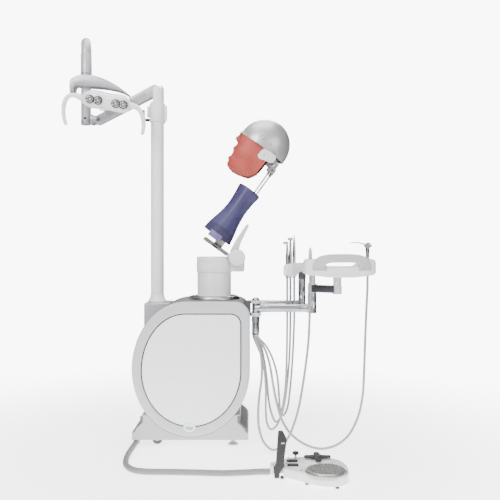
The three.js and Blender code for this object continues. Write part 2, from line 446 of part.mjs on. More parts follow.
// hoses: each a plain tube along its hanging route, from the foot of the post to its instrument
const ROUTES = {
  hose_syringe: [[30.7, 34.4, 452.9], [30.7, 34.4, 443], [38, 27, 428], [59.8, 10, 393.4], [78.2, -20, 338], [92.6, -42, 252.2], [103.8, -48, 197.2], [126.1, -50, 122.2], [163.8, -50, 66], [223.9, -50, 24.4], [280.1, -50, 11.4], [336.4, -52, 24.9], [384.7, -55, 63.4], [421.9, -58, 135.5], [440.4, -60, 218.2], [447, -60, 330.9], [450.9, -60, 443.6], [455.5, -60, 557.1], [459.5, -60, 640], [460, -60, 689.7]],
  hose_scaler: [[20, 31, 452.9], [20, 31, 443], [26, 24, 425], [40, 8, 390], [46, -20, 347.2], [46.5, -45, 296.1], [37.5, -66, 230.4], [31.9, -74, 165.4], [35.4, -76, 98.9], [54.1, -76, 42.9], [87.9, -76, 14.1], [122.6, -76, 27.3], [151, -76, 65.5], [169.7, -76, 110.6], [188.4, -75, 173], [203.6, -70, 250.3], [218.8, -65, 350.5], [229.2, -62, 443.9], [234.1, -60, 557.1], [236, -60, 630], [236, -60, 689.7]],
  hose_a: [[13.5, 40, 452.9], [13.5, 40, 443], [19, 45.5, 427], [32, 54, 396], [52, 62, 342.3], [64.7, 68, 230.7], [64.8, 70, 132.3], [70.9, 70, 77.8], [85.3, 70, 55.6], [105, 70, 67.1], [119.7, 70, 93], [131.6, 70, 140.1], [143.5, 70, 210.6], [150.5, 70, 348], [152.5, 70, 505], [152.5, 70, 600], [152.5, 70, 675.7]],
  hose_b: [[20, 49, 452.9], [20, 49, 443], [27, 56, 427], [45.9, 70, 394], [58.5, 84, 338.8], [68.6, 91, 265.8], [76.9, 93, 174.6], [89.3, 93, 115], [106.6, 93, 81.1], [124.8, 93, 95.6], [138.9, 93, 141.9], [151.3, 93, 220.8], [162.8, 93, 347.7], [167, 93, 502.7], [167, 93, 600], [167, 93, 675.7]],
  hose_c: [[30.7, 45.6, 452.9], [30.7, 45.6, 443], [40, 56, 428], [64, 82, 400], [91.3, 104, 346.9], [112.4, 114, 274.1], [120.8, 116, 189.6], [125.8, 116, 126.7], [139.1, 116, 102.2], [155, 116, 131.3], [166.6, 116, 210.5], [177.5, 116, 343.8], [184, 116, 500.4], [184, 116, 600], [184, 116, 675.7]],
};
for (const [n, pts] of Object.entries(ROUTES)) put(root, n, tube(pts, HOSE_R, 8, 30), 0xb9b9bd, 0.5, 0.0);

// -------------------------------------------------------------- foot control
const PEDAL_ROUTE = [[-463, 45.6, 11.4], [-463.5, 20, 11.4], [-464, -12, 11.4], [-466, -91, 11.4], [-463, -181, 11.4], [-448, -263, 11.4], [-416.6, -312, 11.4], [-376.6, -331, 11.4], [-275.4, -337, 11.4], [-180, -344, 11.4], [-93.3, -351, 11.4], [-13, -342, 11.4], [35, -334, 11.4], [60, -333, 11.4], [71.2, -333, 11.4]];
put(root, 'pedal_hose', tube(PEDAL_ROUTE, PEDAL_HOSE_R, 10, 28), 0x9c9ea2, 0.5, 0.0);
const basePlan = [[72, -312], [72, -358], [104, -361], [118, -385], [188, -441], [222, -470], [255, -484], [300, -480], [328, -448], [338, -400], [340, -350], [318, -285], [290, -258], [250, -244], [180, -247], [128, -262], [100, -300]];
const button = (x, y, d) => [[x - 20 - d, y - 4], [x - 15, y - 9 - d], [x + 15, y - 9 - d], [x + 20 + d, y - 4], [x + 20 + d, y + 4], [x + 15, y + 9 + d], [x - 15, y + 9 + d], [x - 20 - d, y + 4]];
const BTN = [[150, -303], [150, -352]];
put(root, 'pedal_base', cut(
  join(
    prismZ(basePlan, 7, 38),
    cylZ(CROSS.x, CROSS.y, 30, 46, 56, 24),
    cylZ(112, -373, 0, 8, 7, 12), cylZ(193, -434, 0, 8, 7, 12), cylZ(290, -474, 0, 8, 7, 12), cylZ(250, -262, 0, 8, 7, 12), cylZ(120, -280, 0, 8, 7, 12),
  ),
  cylZ(DISC.x, DISC.y, 30, 60, DISC.r + 2, 28),
  ...BTN.map(([x, y]) => prismZ(button(x, y, 0.8), 30, 60)),
  box(82, 121, -379, -341, 0, 60),
), 0xf1f1f0, 0.4, 0.0);
put(root, 'lift_handle', prismY([[84.5, 1], [101.5, 1], [103.5, 20], [118, 41], [119, 69], [128, 134], [113, 161], [98, 158], [94, 100], [90, 48], [84.5, 27]], -376, -344), 0x55565a, 0.5, 0.3);
put(root, 'disc_pedal', turned(DISC.x, DISC.y, [[0, 36], [DISC.r - 3, 36], [DISC.r, 38], [DISC.r, 44], [DISC.r - 4, 47], [0, 49]], 28), 0xc7c9c9, 0.3, 0.8);
put(root, 'cross_pedal', join(
  prismZ([[-11, -48], [11, -48], [14, -14], [48, -11], [48, 11], [14, 14], [11, 48], [-11, 48], [-14, 14], [-48, 11], [-48, -11], [-14, -14]].map(([x, y]) => [x + CROSS.x, y + CROSS.y]), 52, 58),
  cylZ(CROSS.x, CROSS.y, 50, 62, 16, 16),
), 0x3a3a38, 0.6, 0.0);
BTN.forEach(([x, y], i) => put(root, `pedal_button_${i + 1}`, prismZ(button(x, y, 0), 33.5, 44), 0x3c3c3e, 0.6, 0.0));
put(root, 'pedal_knob', turned(165, -267, [[0, 38.3], [4, 38.3], [4, 52], [10, 53], [12, 58], [9, 63], [0, 64]], 14), 0x1d1d1f, 0.5, 0.0);

export default root;
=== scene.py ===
# Looks of the dental simulation unit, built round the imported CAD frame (metres, +Z up).
import json
import math

import bpy
import bmesh
import numpy as np
from mathutils import Matrix, Vector

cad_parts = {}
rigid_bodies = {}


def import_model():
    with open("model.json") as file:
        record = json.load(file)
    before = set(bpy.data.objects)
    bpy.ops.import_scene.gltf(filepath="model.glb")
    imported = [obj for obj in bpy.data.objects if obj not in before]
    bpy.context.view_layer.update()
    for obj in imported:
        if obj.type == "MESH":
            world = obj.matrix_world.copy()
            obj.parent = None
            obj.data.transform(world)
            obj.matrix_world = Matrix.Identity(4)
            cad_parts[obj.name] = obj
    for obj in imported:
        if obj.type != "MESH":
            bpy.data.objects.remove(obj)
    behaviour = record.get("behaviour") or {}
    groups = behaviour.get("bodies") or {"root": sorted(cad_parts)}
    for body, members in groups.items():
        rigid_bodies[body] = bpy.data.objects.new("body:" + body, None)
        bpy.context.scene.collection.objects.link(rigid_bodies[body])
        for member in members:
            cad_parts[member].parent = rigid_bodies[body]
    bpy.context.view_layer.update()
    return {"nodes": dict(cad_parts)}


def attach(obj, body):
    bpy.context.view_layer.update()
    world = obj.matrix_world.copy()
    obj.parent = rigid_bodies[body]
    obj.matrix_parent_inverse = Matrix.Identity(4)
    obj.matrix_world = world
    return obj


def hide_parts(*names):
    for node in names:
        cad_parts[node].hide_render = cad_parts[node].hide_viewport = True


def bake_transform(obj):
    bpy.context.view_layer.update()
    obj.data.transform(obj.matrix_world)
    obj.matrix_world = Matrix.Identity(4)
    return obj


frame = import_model()

SX, SY = 0.154771, 0.053
D2R = math.pi / 180
M0 = Matrix.Translation((SX, SY, 0)) @ Matrix.Scale(0.001, 4)                    # design mm -> row frame m
MT = M0 @ Matrix.Translation((-55, 200, 760)) @ Matrix.Rotation(36 * D2R, 4, "Y")  # the tilted torso and head
ML = M0 @ Matrix.Translation((-605.6, 150, 1418.6)) @ Matrix.Rotation(9 * D2R, 4, "Y") @ Matrix.Rotation(15 * D2R, 4, "X")
coll = bpy.context.scene.collection


# ------------------------------------------------------------------ 2-D help
def arc(cx, cz, a, b, t0, t1, n):
    return [(cx + a * math.cos((t0 + (t1 - t0) * i / n) * D2R), cz + b * math.sin((t0 + (t1 - t0) * i / n) * D2R)) for i in range(n + 1)]


def fillet(pts, r, n=5, closed=True):
    """Rounds every corner of a polygon; r is one radius or one per corner."""
    out, m = [], len(pts)
    for i, p in enumerate(pts):
        ri = r[i] if hasattr(r, "__len__") else r
        a, b = Vector(pts[i - 1]) - Vector(p), Vector(pts[(i + 1) % m]) - Vector(p)
        la, lb = a.length, b.length
        if ri <= 0 or la < 1e-6 or lb < 1e-6:
            out.append(tuple(p))
            continue
        a, b = a / la, b / lb
        cosv = max(-1, min(1, a.dot(b)))
        half = math.acos(cosv) / 2
        if half > 1.52:
            out.append(tuple(p))
            continue
        t = min(ri / math.tan(half), la * 0.48, lb * 0.48)
        rr = t * math.tan(half)
        bis = (a + b)
        c = Vector(p) + bis.normalized() * (rr / math.sin(half))
        s, e = Vector(p) + a * t - c, Vector(p) + b * t - c
        ang = math.atan2(s.x * e.y - s.y * e.x, s.dot(e))
        for k in range(n + 1):
            q = ang * k / n
            out.append((c.x + s.x * math.cos(q) - s.y * math.sin(q), c.y + s.x * math.sin(q) + s.y * math.cos(q)))
    return out


def spline(pts, per=8, closed=False):
    """Centripetal Catmull-Rom through 2-D or 3-D points."""
    P = [np.array(p, float) for p in pts]
    if closed:
        P = [P[-1]] + P + [P[0], P[1]]
    else:
        P = [2 * P[0] - P[1]] + P + [2 * P[-1] - P[-2]]
    out = []
    for i in range(1, len(P) - 2):
        p0, p1, p2, p3 = P[i - 1], P[i], P[i + 1], P[i + 2]
        t0 = 0.0
        t1 = t0 + max(np.linalg.norm(p1 - p0), 1e-6) ** 0.5
        t2 = t1 + max(np.linalg.norm(p2 - p1), 1e-6) ** 0.5
        t3 = t2 + max(np.linalg.norm(p3 - p2), 1e-6) ** 0.5
        for k in range(per):
            t = t1 + (t2 - t1) * k / per
            A1 = (t1 - t) / (t1 - t0) * p0 + (t - t0) / (t1 - t0) * p1
            A2 = (t2 - t) / (t2 - t1) * p1 + (t - t1) / (t2 - t1) * p2
            A3 = (t3 - t) / (t3 - t2) * p2 + (t - t2) / (t3 - t2) * p3
            B1 = (t2 - t) / (t2 - t0) * A1 + (t - t0) / (t2 - t0) * A2
            B2 = (t3 - t) / (t3 - t1) * A2 + (t - t1) / (t3 - t1) * A3
            out.append(tuple((t2 - t) / (t2 - t1) * B1 + (t - t1) / (t2 - t1) * B2))
    if not closed:
        out.append(tuple(P[-2]))
    return out


def area2(pts):
    return 0.5 * sum(pts[i][0] * pts[(i + 1) % len(pts)][1] - pts[(i + 1) % len(pts)][0] * pts[i][1] for i in range(len(pts)))


def inset(pts, d):
    """Moves every point inwards by d along the corner bisector (counter-clockwise outline)."""
    n, out = len(pts), []
    for i in range(n):
        p, a, b = Vector(pts[i]), Vector(pts[i - 1]), Vector(pts[(i + 1) % n])
        e1, e2 = (p - a), (b - p)
        if e1.length < 1e-9:
            e1 = e2
        if e2.length < 1e-9:
            e2 = e1
        e1, e2 = e1.normalized(), e2.normalized()
        n1, n2 = Vector((-e1.y, e1.x)), Vector((-e2.y, e2.x))
        m = n1 + n2
        if m.length < 1e-6:
            m = n1
        m = m.normalized()
        k = d / max(0.45, m.dot(n1))
        out.append((p.x + m.x * k, p.y + m.y * k))
    return out


def resample(pts, n, closed=True):
    P = np.array(list(pts) + ([pts[0]] if closed else []), float)
    seg = np.linalg.norm(np.diff(P, axis=0), axis=1)
    s = np.concatenate([[0], np.cumsum(seg)])
    u = np.linspace(0, s[-1], n + (1 if closed else 0))[: n]
    return [tuple(np.array([np.interp(x, s, P[:, k]) for k in range(P.shape[1])])) for x in u]


# ------------------------------------------------------------- 3-D mesh parts
class Geo:
    """A bag of vertices and faces in one local frame, with a material index for each face."""

    def __init__(self):
        self.v, self.f, self.m = [], [], []

    def add(self, verts, faces, mi=0, M=None):
        base = len(self.v)
        self.v += [tuple(M @ Vector(p)) if M is not None else tuple(p) for p in verts]
        self.f += [tuple(base + i for i in f) for f in faces]
        self.m += [mi] * len(faces)
        return self

    def rings(self, rings, mi=0, cap0=True, cap1=True, close=False, M=None):
        """Skins rings of equal length; the first and last are capped."""
        n, verts, faces = len(rings[0]), [], []
        for r in rings:
            verts += [tuple(p) for p in r]
        R = len(rings)
        for k in range(R if close else R - 1):
            for i in range(n):
                a, b = k * n + i, k * n + (i + 1) % n
                c, d = ((k + 1) % R) * n + i, ((k + 1) % R) * n + (i + 1) % n
                faces.append((a, b, d, c))
        if cap0 and not close:
            faces.append(tuple(reversed(range(n))))
        if cap1 and not close:
            faces.append(tuple(range((R - 1) * n, R * n)))
        return self.add(verts, faces, mi, M)

    def prism(self, pts, lo, hi, axis="Y", r=0.0, seg=3, mi=0, M=None, r0=None, r1=None):
        """A flat outline given thickness, with its edges rounded by r. The outline is X-Z for Y, X-Y for Z, Y-Z for X."""
        pts = list(pts)
        if area2(pts) < 0:
            pts.reverse()
        r0 = r if r0 is None else r0
        r1 = r if r1 is None else r1
        lev = []
        if r0 > 0:
            for k in range(seg + 1):
                q = math.pi / 2 * k / seg
                lev.append((lo + r0 * (1 - math.sin(q)), r0 * (1 - math.cos(q))))
            lev = [(lo + r0 * (1 - math.sin(math.pi / 2 * (1 - k / seg))), r0 * (1 - math.cos(math.pi / 2 * (1 - k / seg)))) for k in range(seg + 1)]
            lev.sort(key=lambda t: t[0])
        else:
            lev.append((lo, 0.0))
        if r1 > 0:
            top = [(hi - r1 * (1 - math.sin(math.pi / 2 * k / seg)), r1 * (1 - math.cos(math.pi / 2 * k / seg))) for k in range(seg + 1)]
            top.sort(key=lambda t: t[0])
            lev += top
        else:
            lev.append((hi, 0.0))
        rings = []
        for h, d in lev:
            q = inset(pts, d) if d > 1e-9 else pts
            if axis == "Z":
                rings.append([(x, y, h) for x, y in q])
            elif axis == "Y":
                rings.append([(x, h, z) for x, z in q])
            else:
                rings.append([(h, y, z) for y, z in q])
        return self.rings(rings, mi, M=M)

    def lathe(self, prof, cx=0, cy=0, cz=0, axis="Z", n=48, mi=0, M=None):
        """Turns [(radius, height), ...] about an axis through (cx, cy, cz)."""
        rings = []
        for r, h in prof:
            ring = []
            for i in range(n):
                t = 2 * math.pi * i / n
                a, b = max(r, 1e-4) * math.cos(t), max(r, 1e-4) * math.sin(t)
                if axis == "Z":
                    ring.append((cx + a, cy + b, cz + h))
                elif axis == "X":
                    ring.append((cx + h, cy + a, cz + b))
                else:
                    ring.append((cx + a, cy + h, cz + b))
            rings.append(ring)
        return self.rings(rings, mi, M=M)

    def rod(self, cx, cy, cz, axis, lo, hi, r, ch=1.0, n=40, mi=0, M=None, r2=None):
        """A round bar along an axis with rounded rims."""
        r2 = r if r2 is None else r2
        prof = [(0, lo), (r - ch, lo), (r - 0.3 * ch, lo + 0.3 * ch), (r, lo + ch), (r2, hi - ch), (r2 - 0.3 * ch, hi - 0.3 * ch), (r2 - ch, hi), (0, hi)]
        return self.lathe(prof, cx, cy, cz, axis, n, mi, M)

    def box(self, x0, x1, y0, y1, z0, z1, r=1.0, mi=0, M=None, seg=3, axis="Z"):
        if axis == "Z":
            o, lo, hi = [(x0, y0), (x1, y0), (x1, y1), (x0, y1)], z0, z1
        elif axis == "Y":
            o, lo, hi = [(x0, z0), (x1, z0), (x1, z1), (x0, z1)], y0, y1
        else:
            o, lo, hi = [(y0, z0), (y1, z0), (y1, z1), (y0, z1)], x0, x1
        return self.prism(fillet(o, r, seg), lo, hi, axis, r * 0.8, seg, mi, M)

    def tube(self, pts, r, n=20, mi=0, M=None, cap=True, squash=1.0, up=None):
        """A swept tube; r is one radius or one per point. The ends are domed when cap is 'round'."""
        P = [Vector(p) for p in pts]
        rad = list(r) if hasattr(r, "__len__") else [r] * len(P)
        T = []
        for i in range(len(P)):
            a, b = P[max(i - 1, 0)], P[min(i + 1, len(P) - 1)]
            T.append((b - a).normalized())
        u = Vector(up) if up else Vector((0, 0, 1))
        if abs(u.dot(T[0])) > 0.95:
            u = Vector((0, 1, 0))
        N = [(u - T[0] * u.dot(T[0])).normalized()]
        for i in range(1, len(P)):
            q = N[-1] - T[i] * N[-1].dot(T[i])
            N.append(q.normalized())
        rings = []

        def ring(c, t, nn, rr):
            bb = t.cross(nn)
            return [tuple(c + nn * (rr * math.cos(2 * math.pi * k / n)) + bb * (rr * squash * math.sin(2 * math.pi * k / n))) for k in range(n)]

        if cap == "round":
            for q in (90, 67, 45, 22):
                rings.append(ring(P[0] - T[0] * (rad[0] * math.sin(q * D2R)), T[0], N[0], max(rad[0] * math.cos(q * D2R), 1e-3)))
        for i in range(len(P)):
            rings.append(ring(P[i], T[i], N[i], rad[i]))
        if cap == "round":
            for q in (22, 45, 67, 90):
                rings.append(ring(P[-1] + T[-1] * (rad[-1] * math.sin(q * D2R)), T[-1], N[-1], max(rad[-1] * math.cos(q * D2R), 1e-3)))
        return self.rings(rings, mi, M=M)

    def ball(self, cx, cy, cz, a, b, c, w=48, h=24, mi=0, M=None):
        prof = [(math.sin(math.pi * k / h), -math.cos(math.pi * k / h)) for k in range(h + 1)]
        rings = [[(cx + a * max(r, 1e-4) * math.cos(2 * math.pi * i / w), cy + b * max(r, 1e-4) * math.sin(2 * math.pi * i / w), cz + c * z) for i in range(w)] for r, z in prof]
        return self.rings(rings, mi, M=M)


def mesh_of(geo, M, name):
    me = bpy.data.meshes.new(name)
    me.from_pydata([tuple(M @ Vector(p)) for p in geo.v], [], geo.f)
    for p, mi in zip(me.polygons, geo.m):
        p.material_index = mi
    bm = bmesh.new()
    bm.from_mesh(me)
    bmesh.ops.recalc_face_normals(bm, faces=bm.faces)
    bm.to_mesh(me)
    bm.free()
    return me


def temp(geo, M):
    o = bpy.data.objects.new("tmp", mesh_of(geo, M, "tmp"))
    coll.objects.link(o)
    return o


def carve(geo, M, cutters, op="DIFFERENCE"):
    """geo with each cutter Geo taken away (or met), as a mesh in the row frame."""
    a = temp(geo, M)
    for c in cutters:
        b = temp(c, M)
        mod = a.modifiers.new("b", "BOOLEAN")
        mod.operation, mod.object, mod.solver = op, b, "EXACT"
        dg = bpy.context.evaluated_depsgraph_get()
        me = bpy.data.meshes.new_from_object(a.evaluated_get(dg))
        a.modifiers.clear()
        a.data = me
        bpy.data.objects.remove(b)
    me = a.data
    bpy.data.objects.remove(a)
    return me


def piece(name, mesh, body, mats, nodes=(), M=M0, angle=38, bevel=0.0, subsurf=0, weld=0.0):
    """A finished piece: from a Geo or a mesh in the row frame, riding on its body and standing for CAD nodes."""
    me = mesh_of(mesh, M, name) if isinstance(mesh, Geo) else mesh
    me.name = name
    for s in mats:
        me.materials.append(s)
    o = bpy.data.objects.new(name, me)
    coll.objects.link(o)
    if weld:
        bm = bmesh.new()
        bm.from_mesh(me)
        bmesh.ops.remove_doubles(bm, verts=bm.verts, dist=weld)
        bm.to_mesh(me)
        bm.free()
    me.shade_smooth()
    if angle < 180:
        me.set_sharp_from_angle(angle=angle * D2R)
    if bevel:
        b = o.modifiers.new("edge", "BEVEL")
        b.width, b.segments, b.limit_method, b.angle_limit = bevel, 2, "ANGLE", 40 * D2R
        b.harden_normals = False
    if subsurf:
        s = o.modifiers.new("sub", "SUBSURF")
        s.levels = s.render_levels = subsurf
    if body:
        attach(o, body)
    if nodes:
        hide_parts(*nodes)
    return o


def dress(node, mat, bevel=0.0005, angle=38):
    """A CAD node that stays: a material, softened edges and smooth shading."""
    o = frame["nodes"][node]
    o.data.materials.clear()
    o.data.materials.append(mat)
    for p in o.data.polygons:
        p.use_smooth = True
    o.data.set_sharp_from_angle(angle=angle * D2R)
    if bevel:
        b = o.modifiers.new("edge", "BEVEL")
        b.width, b.segments, b.limit_method, b.angle_limit = bevel, 2, "ANGLE", 35 * D2R
    return o


# ------------------------------------------------------------------ materials
def lin(c):
    return [((x / 255) / 12.92 if x / 255 <= 0.04045 else ((x / 255 + 0.055) / 1.055) ** 2.4) for x in c] + [1.0]


def material(name, rgb, rough=0.4, metal=0.0, var=0.035, vscale=9.0, bump=0.02, bscale=900.0, rvar=0.06, coat=0.0, coat_rough=0.1,
             rgb2=None, trans=0.0, alpha=1.0, ior=1.45, sss=0.0, brushed=None, stretch=None, wear=0.0, dust=0.0, sheen=0.0, smudge=0.0):
    """Moulded, painted or metal surface: slow colour drift, fine texture in the gloss and the relief, and dust low down."""
    m = bpy.data.materials.new(name)
    m.use_nodes = True
    nt = m.node_tree
    N, L = nt.nodes, nt.links
    b = N["Principled BSDF"]
    tc = N.new("ShaderNodeTexCoord")
    mp = N.new("ShaderNodeMapping")
    L.new(tc.outputs["Object"], mp.inputs["Vector"])
    if stretch:
        mp.inputs["Scale"].default_value = stretch
    big = N.new("ShaderNodeTexNoise")
    big.inputs["Scale"].default_value, big.inputs["Detail"].default_value = vscale, 4.0
    L.new(tc.outputs["Object"], big.inputs["Vector"])
    fine = N.new("ShaderNodeTexNoise")
    fine.inputs["Scale"].default_value, fine.inputs["Detail"].default_value = bscale, 3.0
    L.new(mp.outputs["Vector"], fine.inputs["Vector"])
    ramp = N.new("ShaderNodeValToRGB")
    c = lin(rgb)
    d = lin(rgb2) if rgb2 else [x * (1 - 2.2 * var) for x in c[:3]] + [1]
    ramp.color_ramp.elements[0].position, ramp.color_ramp.elements[0].color = 0.30, d
    ramp.color_ramp.elements[1].position, ramp.color_ramp.elements[1].color = 0.68, c
    L.new(big.outputs["Fac"], ramp.inputs["Fac"])
    col = ramp.outputs["Color"]
    mixf = N.new("ShaderNodeMix")
    mixf.data_type, mixf.blend_type = "RGBA", "MULTIPLY"
    mixf.inputs["Factor"].default_value = 0.10 if not brushed else 0.22
    L.new(col, mixf.inputs["A"])
    L.new(fine.outputs["Color"], mixf.inputs["B"])
    grey = N.new("ShaderNodeMapRange")
    grey.inputs["From Min"].default_value, grey.inputs["From Max"].default_value = 0.25, 0.75
    grey.inputs["To Min"].default_value, grey.inputs["To Max"].default_value = 0.75, 1.0
    L.new(fine.outputs["Fac"], grey.inputs["Value"])
    L.new(grey.outputs["Result"], mixf.inputs["B"])
    col = mixf.outputs["Result"]
    if dust:
        sep = N.new("ShaderNodeSeparateXYZ")
        L.new(tc.outputs["Object"], sep.inputs["Vector"])
        mr = N.new("ShaderNodeMapRange")
        mr.inputs["From Min"].default_value, mr.inputs["From Max"].default_value = 0.0, 0.16
        mr.inputs["To Min"].default_value, mr.inputs["To Max"].default_value = dust, 0.0
        L.new(sep.outputs["Z"], mr.inputs["Value"])
        mx = N.new("ShaderNodeMix")
        mx.data_type = "RGBA"
        L.new(mr.outputs["Result"], mx.inputs["Factor"])
        L.new(col, mx.inputs["A"])
        mx.inputs["B"].default_value = lin((150, 146, 140))
        col = mx.outputs["Result"]
    if wear:
        geo = N.new("ShaderNodeNewGeometry")
        mr = N.new("ShaderNodeMapRange")
        mr.inputs["From Min"].default_value, mr.inputs["From Max"].default_value = 0.53, 0.62
        mr.inputs["To Min"].default_value, mr.inputs["To Max"].default_value = 0.0, wear
        L.new(geo.outputs["Pointiness"], mr.inputs["Value"])
        mx = N.new("ShaderNodeMix")
        mx.data_type = "RGBA"
        L.new(mr.outputs["Result"], mx.inputs["Factor"])
        L.new(col, mx.inputs["A"])
        mx.inputs["B"].default_value = lin(tuple(min(255, x * 1.25 + 20) for x in rgb))
        col = mx.outputs["Result"]
    L.new(col, b.inputs["Base Color"])
    rr = N.new("ShaderNodeMapRange")
    rr.inputs["From Min"].default_value, rr.inputs["From Max"].default_value = 0.3, 0.7
    rr.inputs["To Min"].default_value, rr.inputs["To Max"].default_value = max(0.02, rough - rvar), min(1, rough + rvar)
    src = fine if brushed else big
    if smudge:
        sm = N.new("ShaderNodeTexNoise")
        sm.inputs["Scale"].default_value, sm.inputs["Detail"].default_value = 26.0, 6.0
        L.new(tc.outputs["Object"], sm.inputs["Vector"])
        src = sm
    L.new(src.outputs["Fac"], rr.inputs["Value"])
    L.new(rr.outputs["Result"], b.inputs["Roughness"])
    b.inputs["Metallic"].default_value = metal
    b.inputs["IOR"].default_value = ior
    b.inputs["Coat Weight"].default_value = coat
    b.inputs["Coat Roughness"].default_value = coat_rough
    if trans:
        b.inputs["Transmission Weight"].default_value = trans
    if alpha < 1:
        b.inputs["Alpha"].default_value = alpha
    if sss:
        b.inputs["Subsurface Weight"].default_value = sss
        b.inputs["Subsurface Radius"].default_value = (0.006, 0.002, 0.001)
        b.inputs["Subsurface Scale"].default_value = 1.0
    if sheen:
        b.inputs["Sheen Weight"].default_value = sheen
    if bump:
        bp = N.new("ShaderNodeBump")
        bp.inputs["Strength"].default_value = min(1.0, bump * 10)
        bp.inputs["Distance"].default_value = 0.0002
        L.new(fine.outputs["Fac"], bp.inputs["Height"])
        L.new(bp.outputs["Normal"], b.inputs["Normal"])
    return m


K = {}
K["door"] = material("door_white", (246, 246, 248), 0.32, var=0.01, bump=0.006, bscale=700, coat=0.25, coat_rough=0.15, smudge=1)
K["bezel"] = material("bezel_pearl", (190, 191, 194), 0.34, var=0.02, bump=0.012, bscale=900, coat=0.2, smudge=1)
K["shell"] = material("shell_sheet", (112, 113, 117), 0.45, metal=0.1, var=0.03, bump=0.03, bscale=1200)
K["plinth"] = material("plinth_texture", (190, 189, 193), 0.48, var=0.03, bump=0.06, bscale=1500, dust=0.25)
K["shoulder"] = material("plinth_shoulder", (104, 102, 104), 0.5, var=0.04, bump=0.06, bscale=1500)
# near-black painted shade: it fills the widened gap round the door and the rear vent slots, standing in for the shade
# inside them
K["seam"] = material("seam_dark", (12, 15, 16), 0.8, var=0.05, bump=0.03)
K["white"] = material("powder_white", (236, 235, 238), 0.34, var=0.012, bump=0.03, bscale=1300, coat=0.15, smudge=1)
K["column"] = material("column_white", (226, 226, 228), 0.36, var=0.012, bump=0.03, bscale=1300, coat=0.1, smudge=1)
K["lampw"] = material("lamp_white", (240, 240, 242), 0.22, var=0.01, bump=0.004, coat=0.5, coat_rough=0.08, smudge=1)
K["armgrey"] = material("arm_grey", (168, 167, 172), 0.32, metal=0.25, var=0.02, bump=0.02, coat=0.2, smudge=1)
K["yokegrey"] = material("yoke_grey", (152, 151, 157), 0.3, metal=0.2, var=0.02, bump=0.01, coat=0.3)
K["goose"] = material("gooseneck_grey", (178, 177, 182), 0.33, metal=0.15, var=0.015, bump=0.02, coat=0.15)
K["ring"] = material("reflector_ring", (96, 96, 98), 0.25, metal=0.9, var=0.05, bump=0.01)
K["refl"] = material("reflector", (225, 226, 228), 0.12, metal=1.0, var=0.02, bump=0.0)
K["lens"] = material("lens_clear", (236, 240, 244), 0.06, var=0.01, bump=0.0, trans=0.85, ior=1.45)
K["black"] = material("black_plastic", (26, 26, 28), 0.45, var=0.08, bump=0.05, bscale=1400)
K["rubber"] = material("black_rubber", (44, 44, 43), 0.62, var=0.08, bump=0.08, bscale=1100, wear=0.15)
K["chrome"] = material("chrome", (214, 216, 219), 0.1, metal=1.0, var=0.015, bump=0.0, smudge=1, rvar=0.04)
K["steel"] = material("satin_steel", (178, 180, 183), 0.26, metal=1.0, var=0.03, bump=0.02, bscale=500, brushed=1, stretch=(1, 1, 0.06))
K["steelx"] = material("satin_steel_plain", (172, 172, 170), 0.27, metal=1.0, var=0.04, bump=0.02, bscale=700)
K["alu_x"] = material("brushed_aluminium_x", (164, 166, 170), 0.2, metal=1.0, var=0.03, bump=0.03, bscale=420, brushed=1, stretch=(0.03, 1, 1), rvar=0.08)
K["alu_z"] = material("brushed_aluminium_z", (164, 166, 170), 0.22, metal=1.0, var=0.03, bump=0.03, bscale=420, brushed=1, stretch=(1, 1, 0.03), rvar=0.08)
K["joint"] = material("cast_joint", (92, 93, 97), 0.36, metal=0.85, var=0.06, bump=0.05, bscale=1000)
K["seat"] = material("seat_plate", (122, 120, 114), 0.42, metal=0.5, var=0.05, bump=0.05, bscale=1000, wear=0.2)
K["cap"] = material("bearing_cap", (214, 214, 217), 0.35, metal=0.3, var=0.02, bump=0.02, coat=0.1)
K["violet"] = material("torso_skin", (70, 66, 104), 0.44, var=0.05, vscale=14, bump=0.05, bscale=520, ior=1.34, rgb2=(60, 56, 92))
# darker violet: painted shade for the underside of the torso's foot, where the shell curves in
K["violet_d"] = material("torso_painted_shade", (54, 52, 80), 0.55, var=0.06, vscale=16, bump=0.06, bscale=520, ior=1.34)
K["violet_l"] = material("torso_tab", (104, 92, 140), 0.5, var=0.04, bump=0.05, bscale=520)
K["helmet"] = material("helmet_silver", (178, 178, 178), 0.36, metal=0.5, var=0.012, vscale=6, bump=0.015, bscale=1300, coat=0.1, rvar=0.02)
K["plate"] = material("temple_plate", (226, 229, 226), 0.36, metal=0.2, var=0.03, bump=0.03)
K["skin"] = material("mask_silicone", (176, 78, 67), 0.5, var=0.05, vscale=18, bump=0.09, bscale=650, rgb2=(158, 64, 55), sss=0.1, ior=1.38)
# much darker red: painted shade for the inside of the mask
K["skin_d"] = material("mask_inside_painted_shade", (96, 30, 26), 0.6, var=0.06, bump=0.08, bscale=650)
K["gum"] = material("gum_pink", (190, 84, 84), 0.25, var=0.05, bump=0.04, bscale=500, coat=0.4, sss=0.1)
K["tooth"] = material("tooth_ivory", (238, 228, 206), 0.2, var=0.04, vscale=120, bump=0.02, bscale=900, coat=0.5, rgb2=(226, 208, 176), sss=0.08)
K["tray"] = material("tray_white", (238, 238, 239), 0.33, var=0.012, bump=0.01, coat=0.2, smudge=1)
K["tray_g"] = material("tray_grip_grey", (188, 187, 190), 0.38, var=0.015, bump=0.02, coat=0.1)
K["hose"] = material("hose_silicone", (150, 150, 154), 0.38, var=0.03, vscale=25, bump=0.03, bscale=600, coat=0.15, smudge=1)
K["hose2"] = material("hose_silicone_grey", (146, 146, 151), 0.4, var=0.03, vscale=25, bump=0.03, bscale=600, coat=0.1)
K["sheath"] = material("pedal_sheath", (122, 124, 129), 0.46, var=0.04, vscale=20, bump=0.08, bscale=480, dust=0.1)
K["enamel"] = material("pedal_enamel", (240, 240, 238), 0.3, var=0.015, bump=0.02, bscale=1100, coat=0.35, dust=0.08)
K["disc"] = material("pedal_disc", (168, 168, 165), 0.3, metal=0.85, var=0.03, bump=0.03, bscale=260, brushed=1, rvar=0.08)
K["handle"] = material("handle_strip", (42, 41, 44), 0.46, metal=0.3, var=0.05, bump=0.05, bscale=900, wear=0.35)
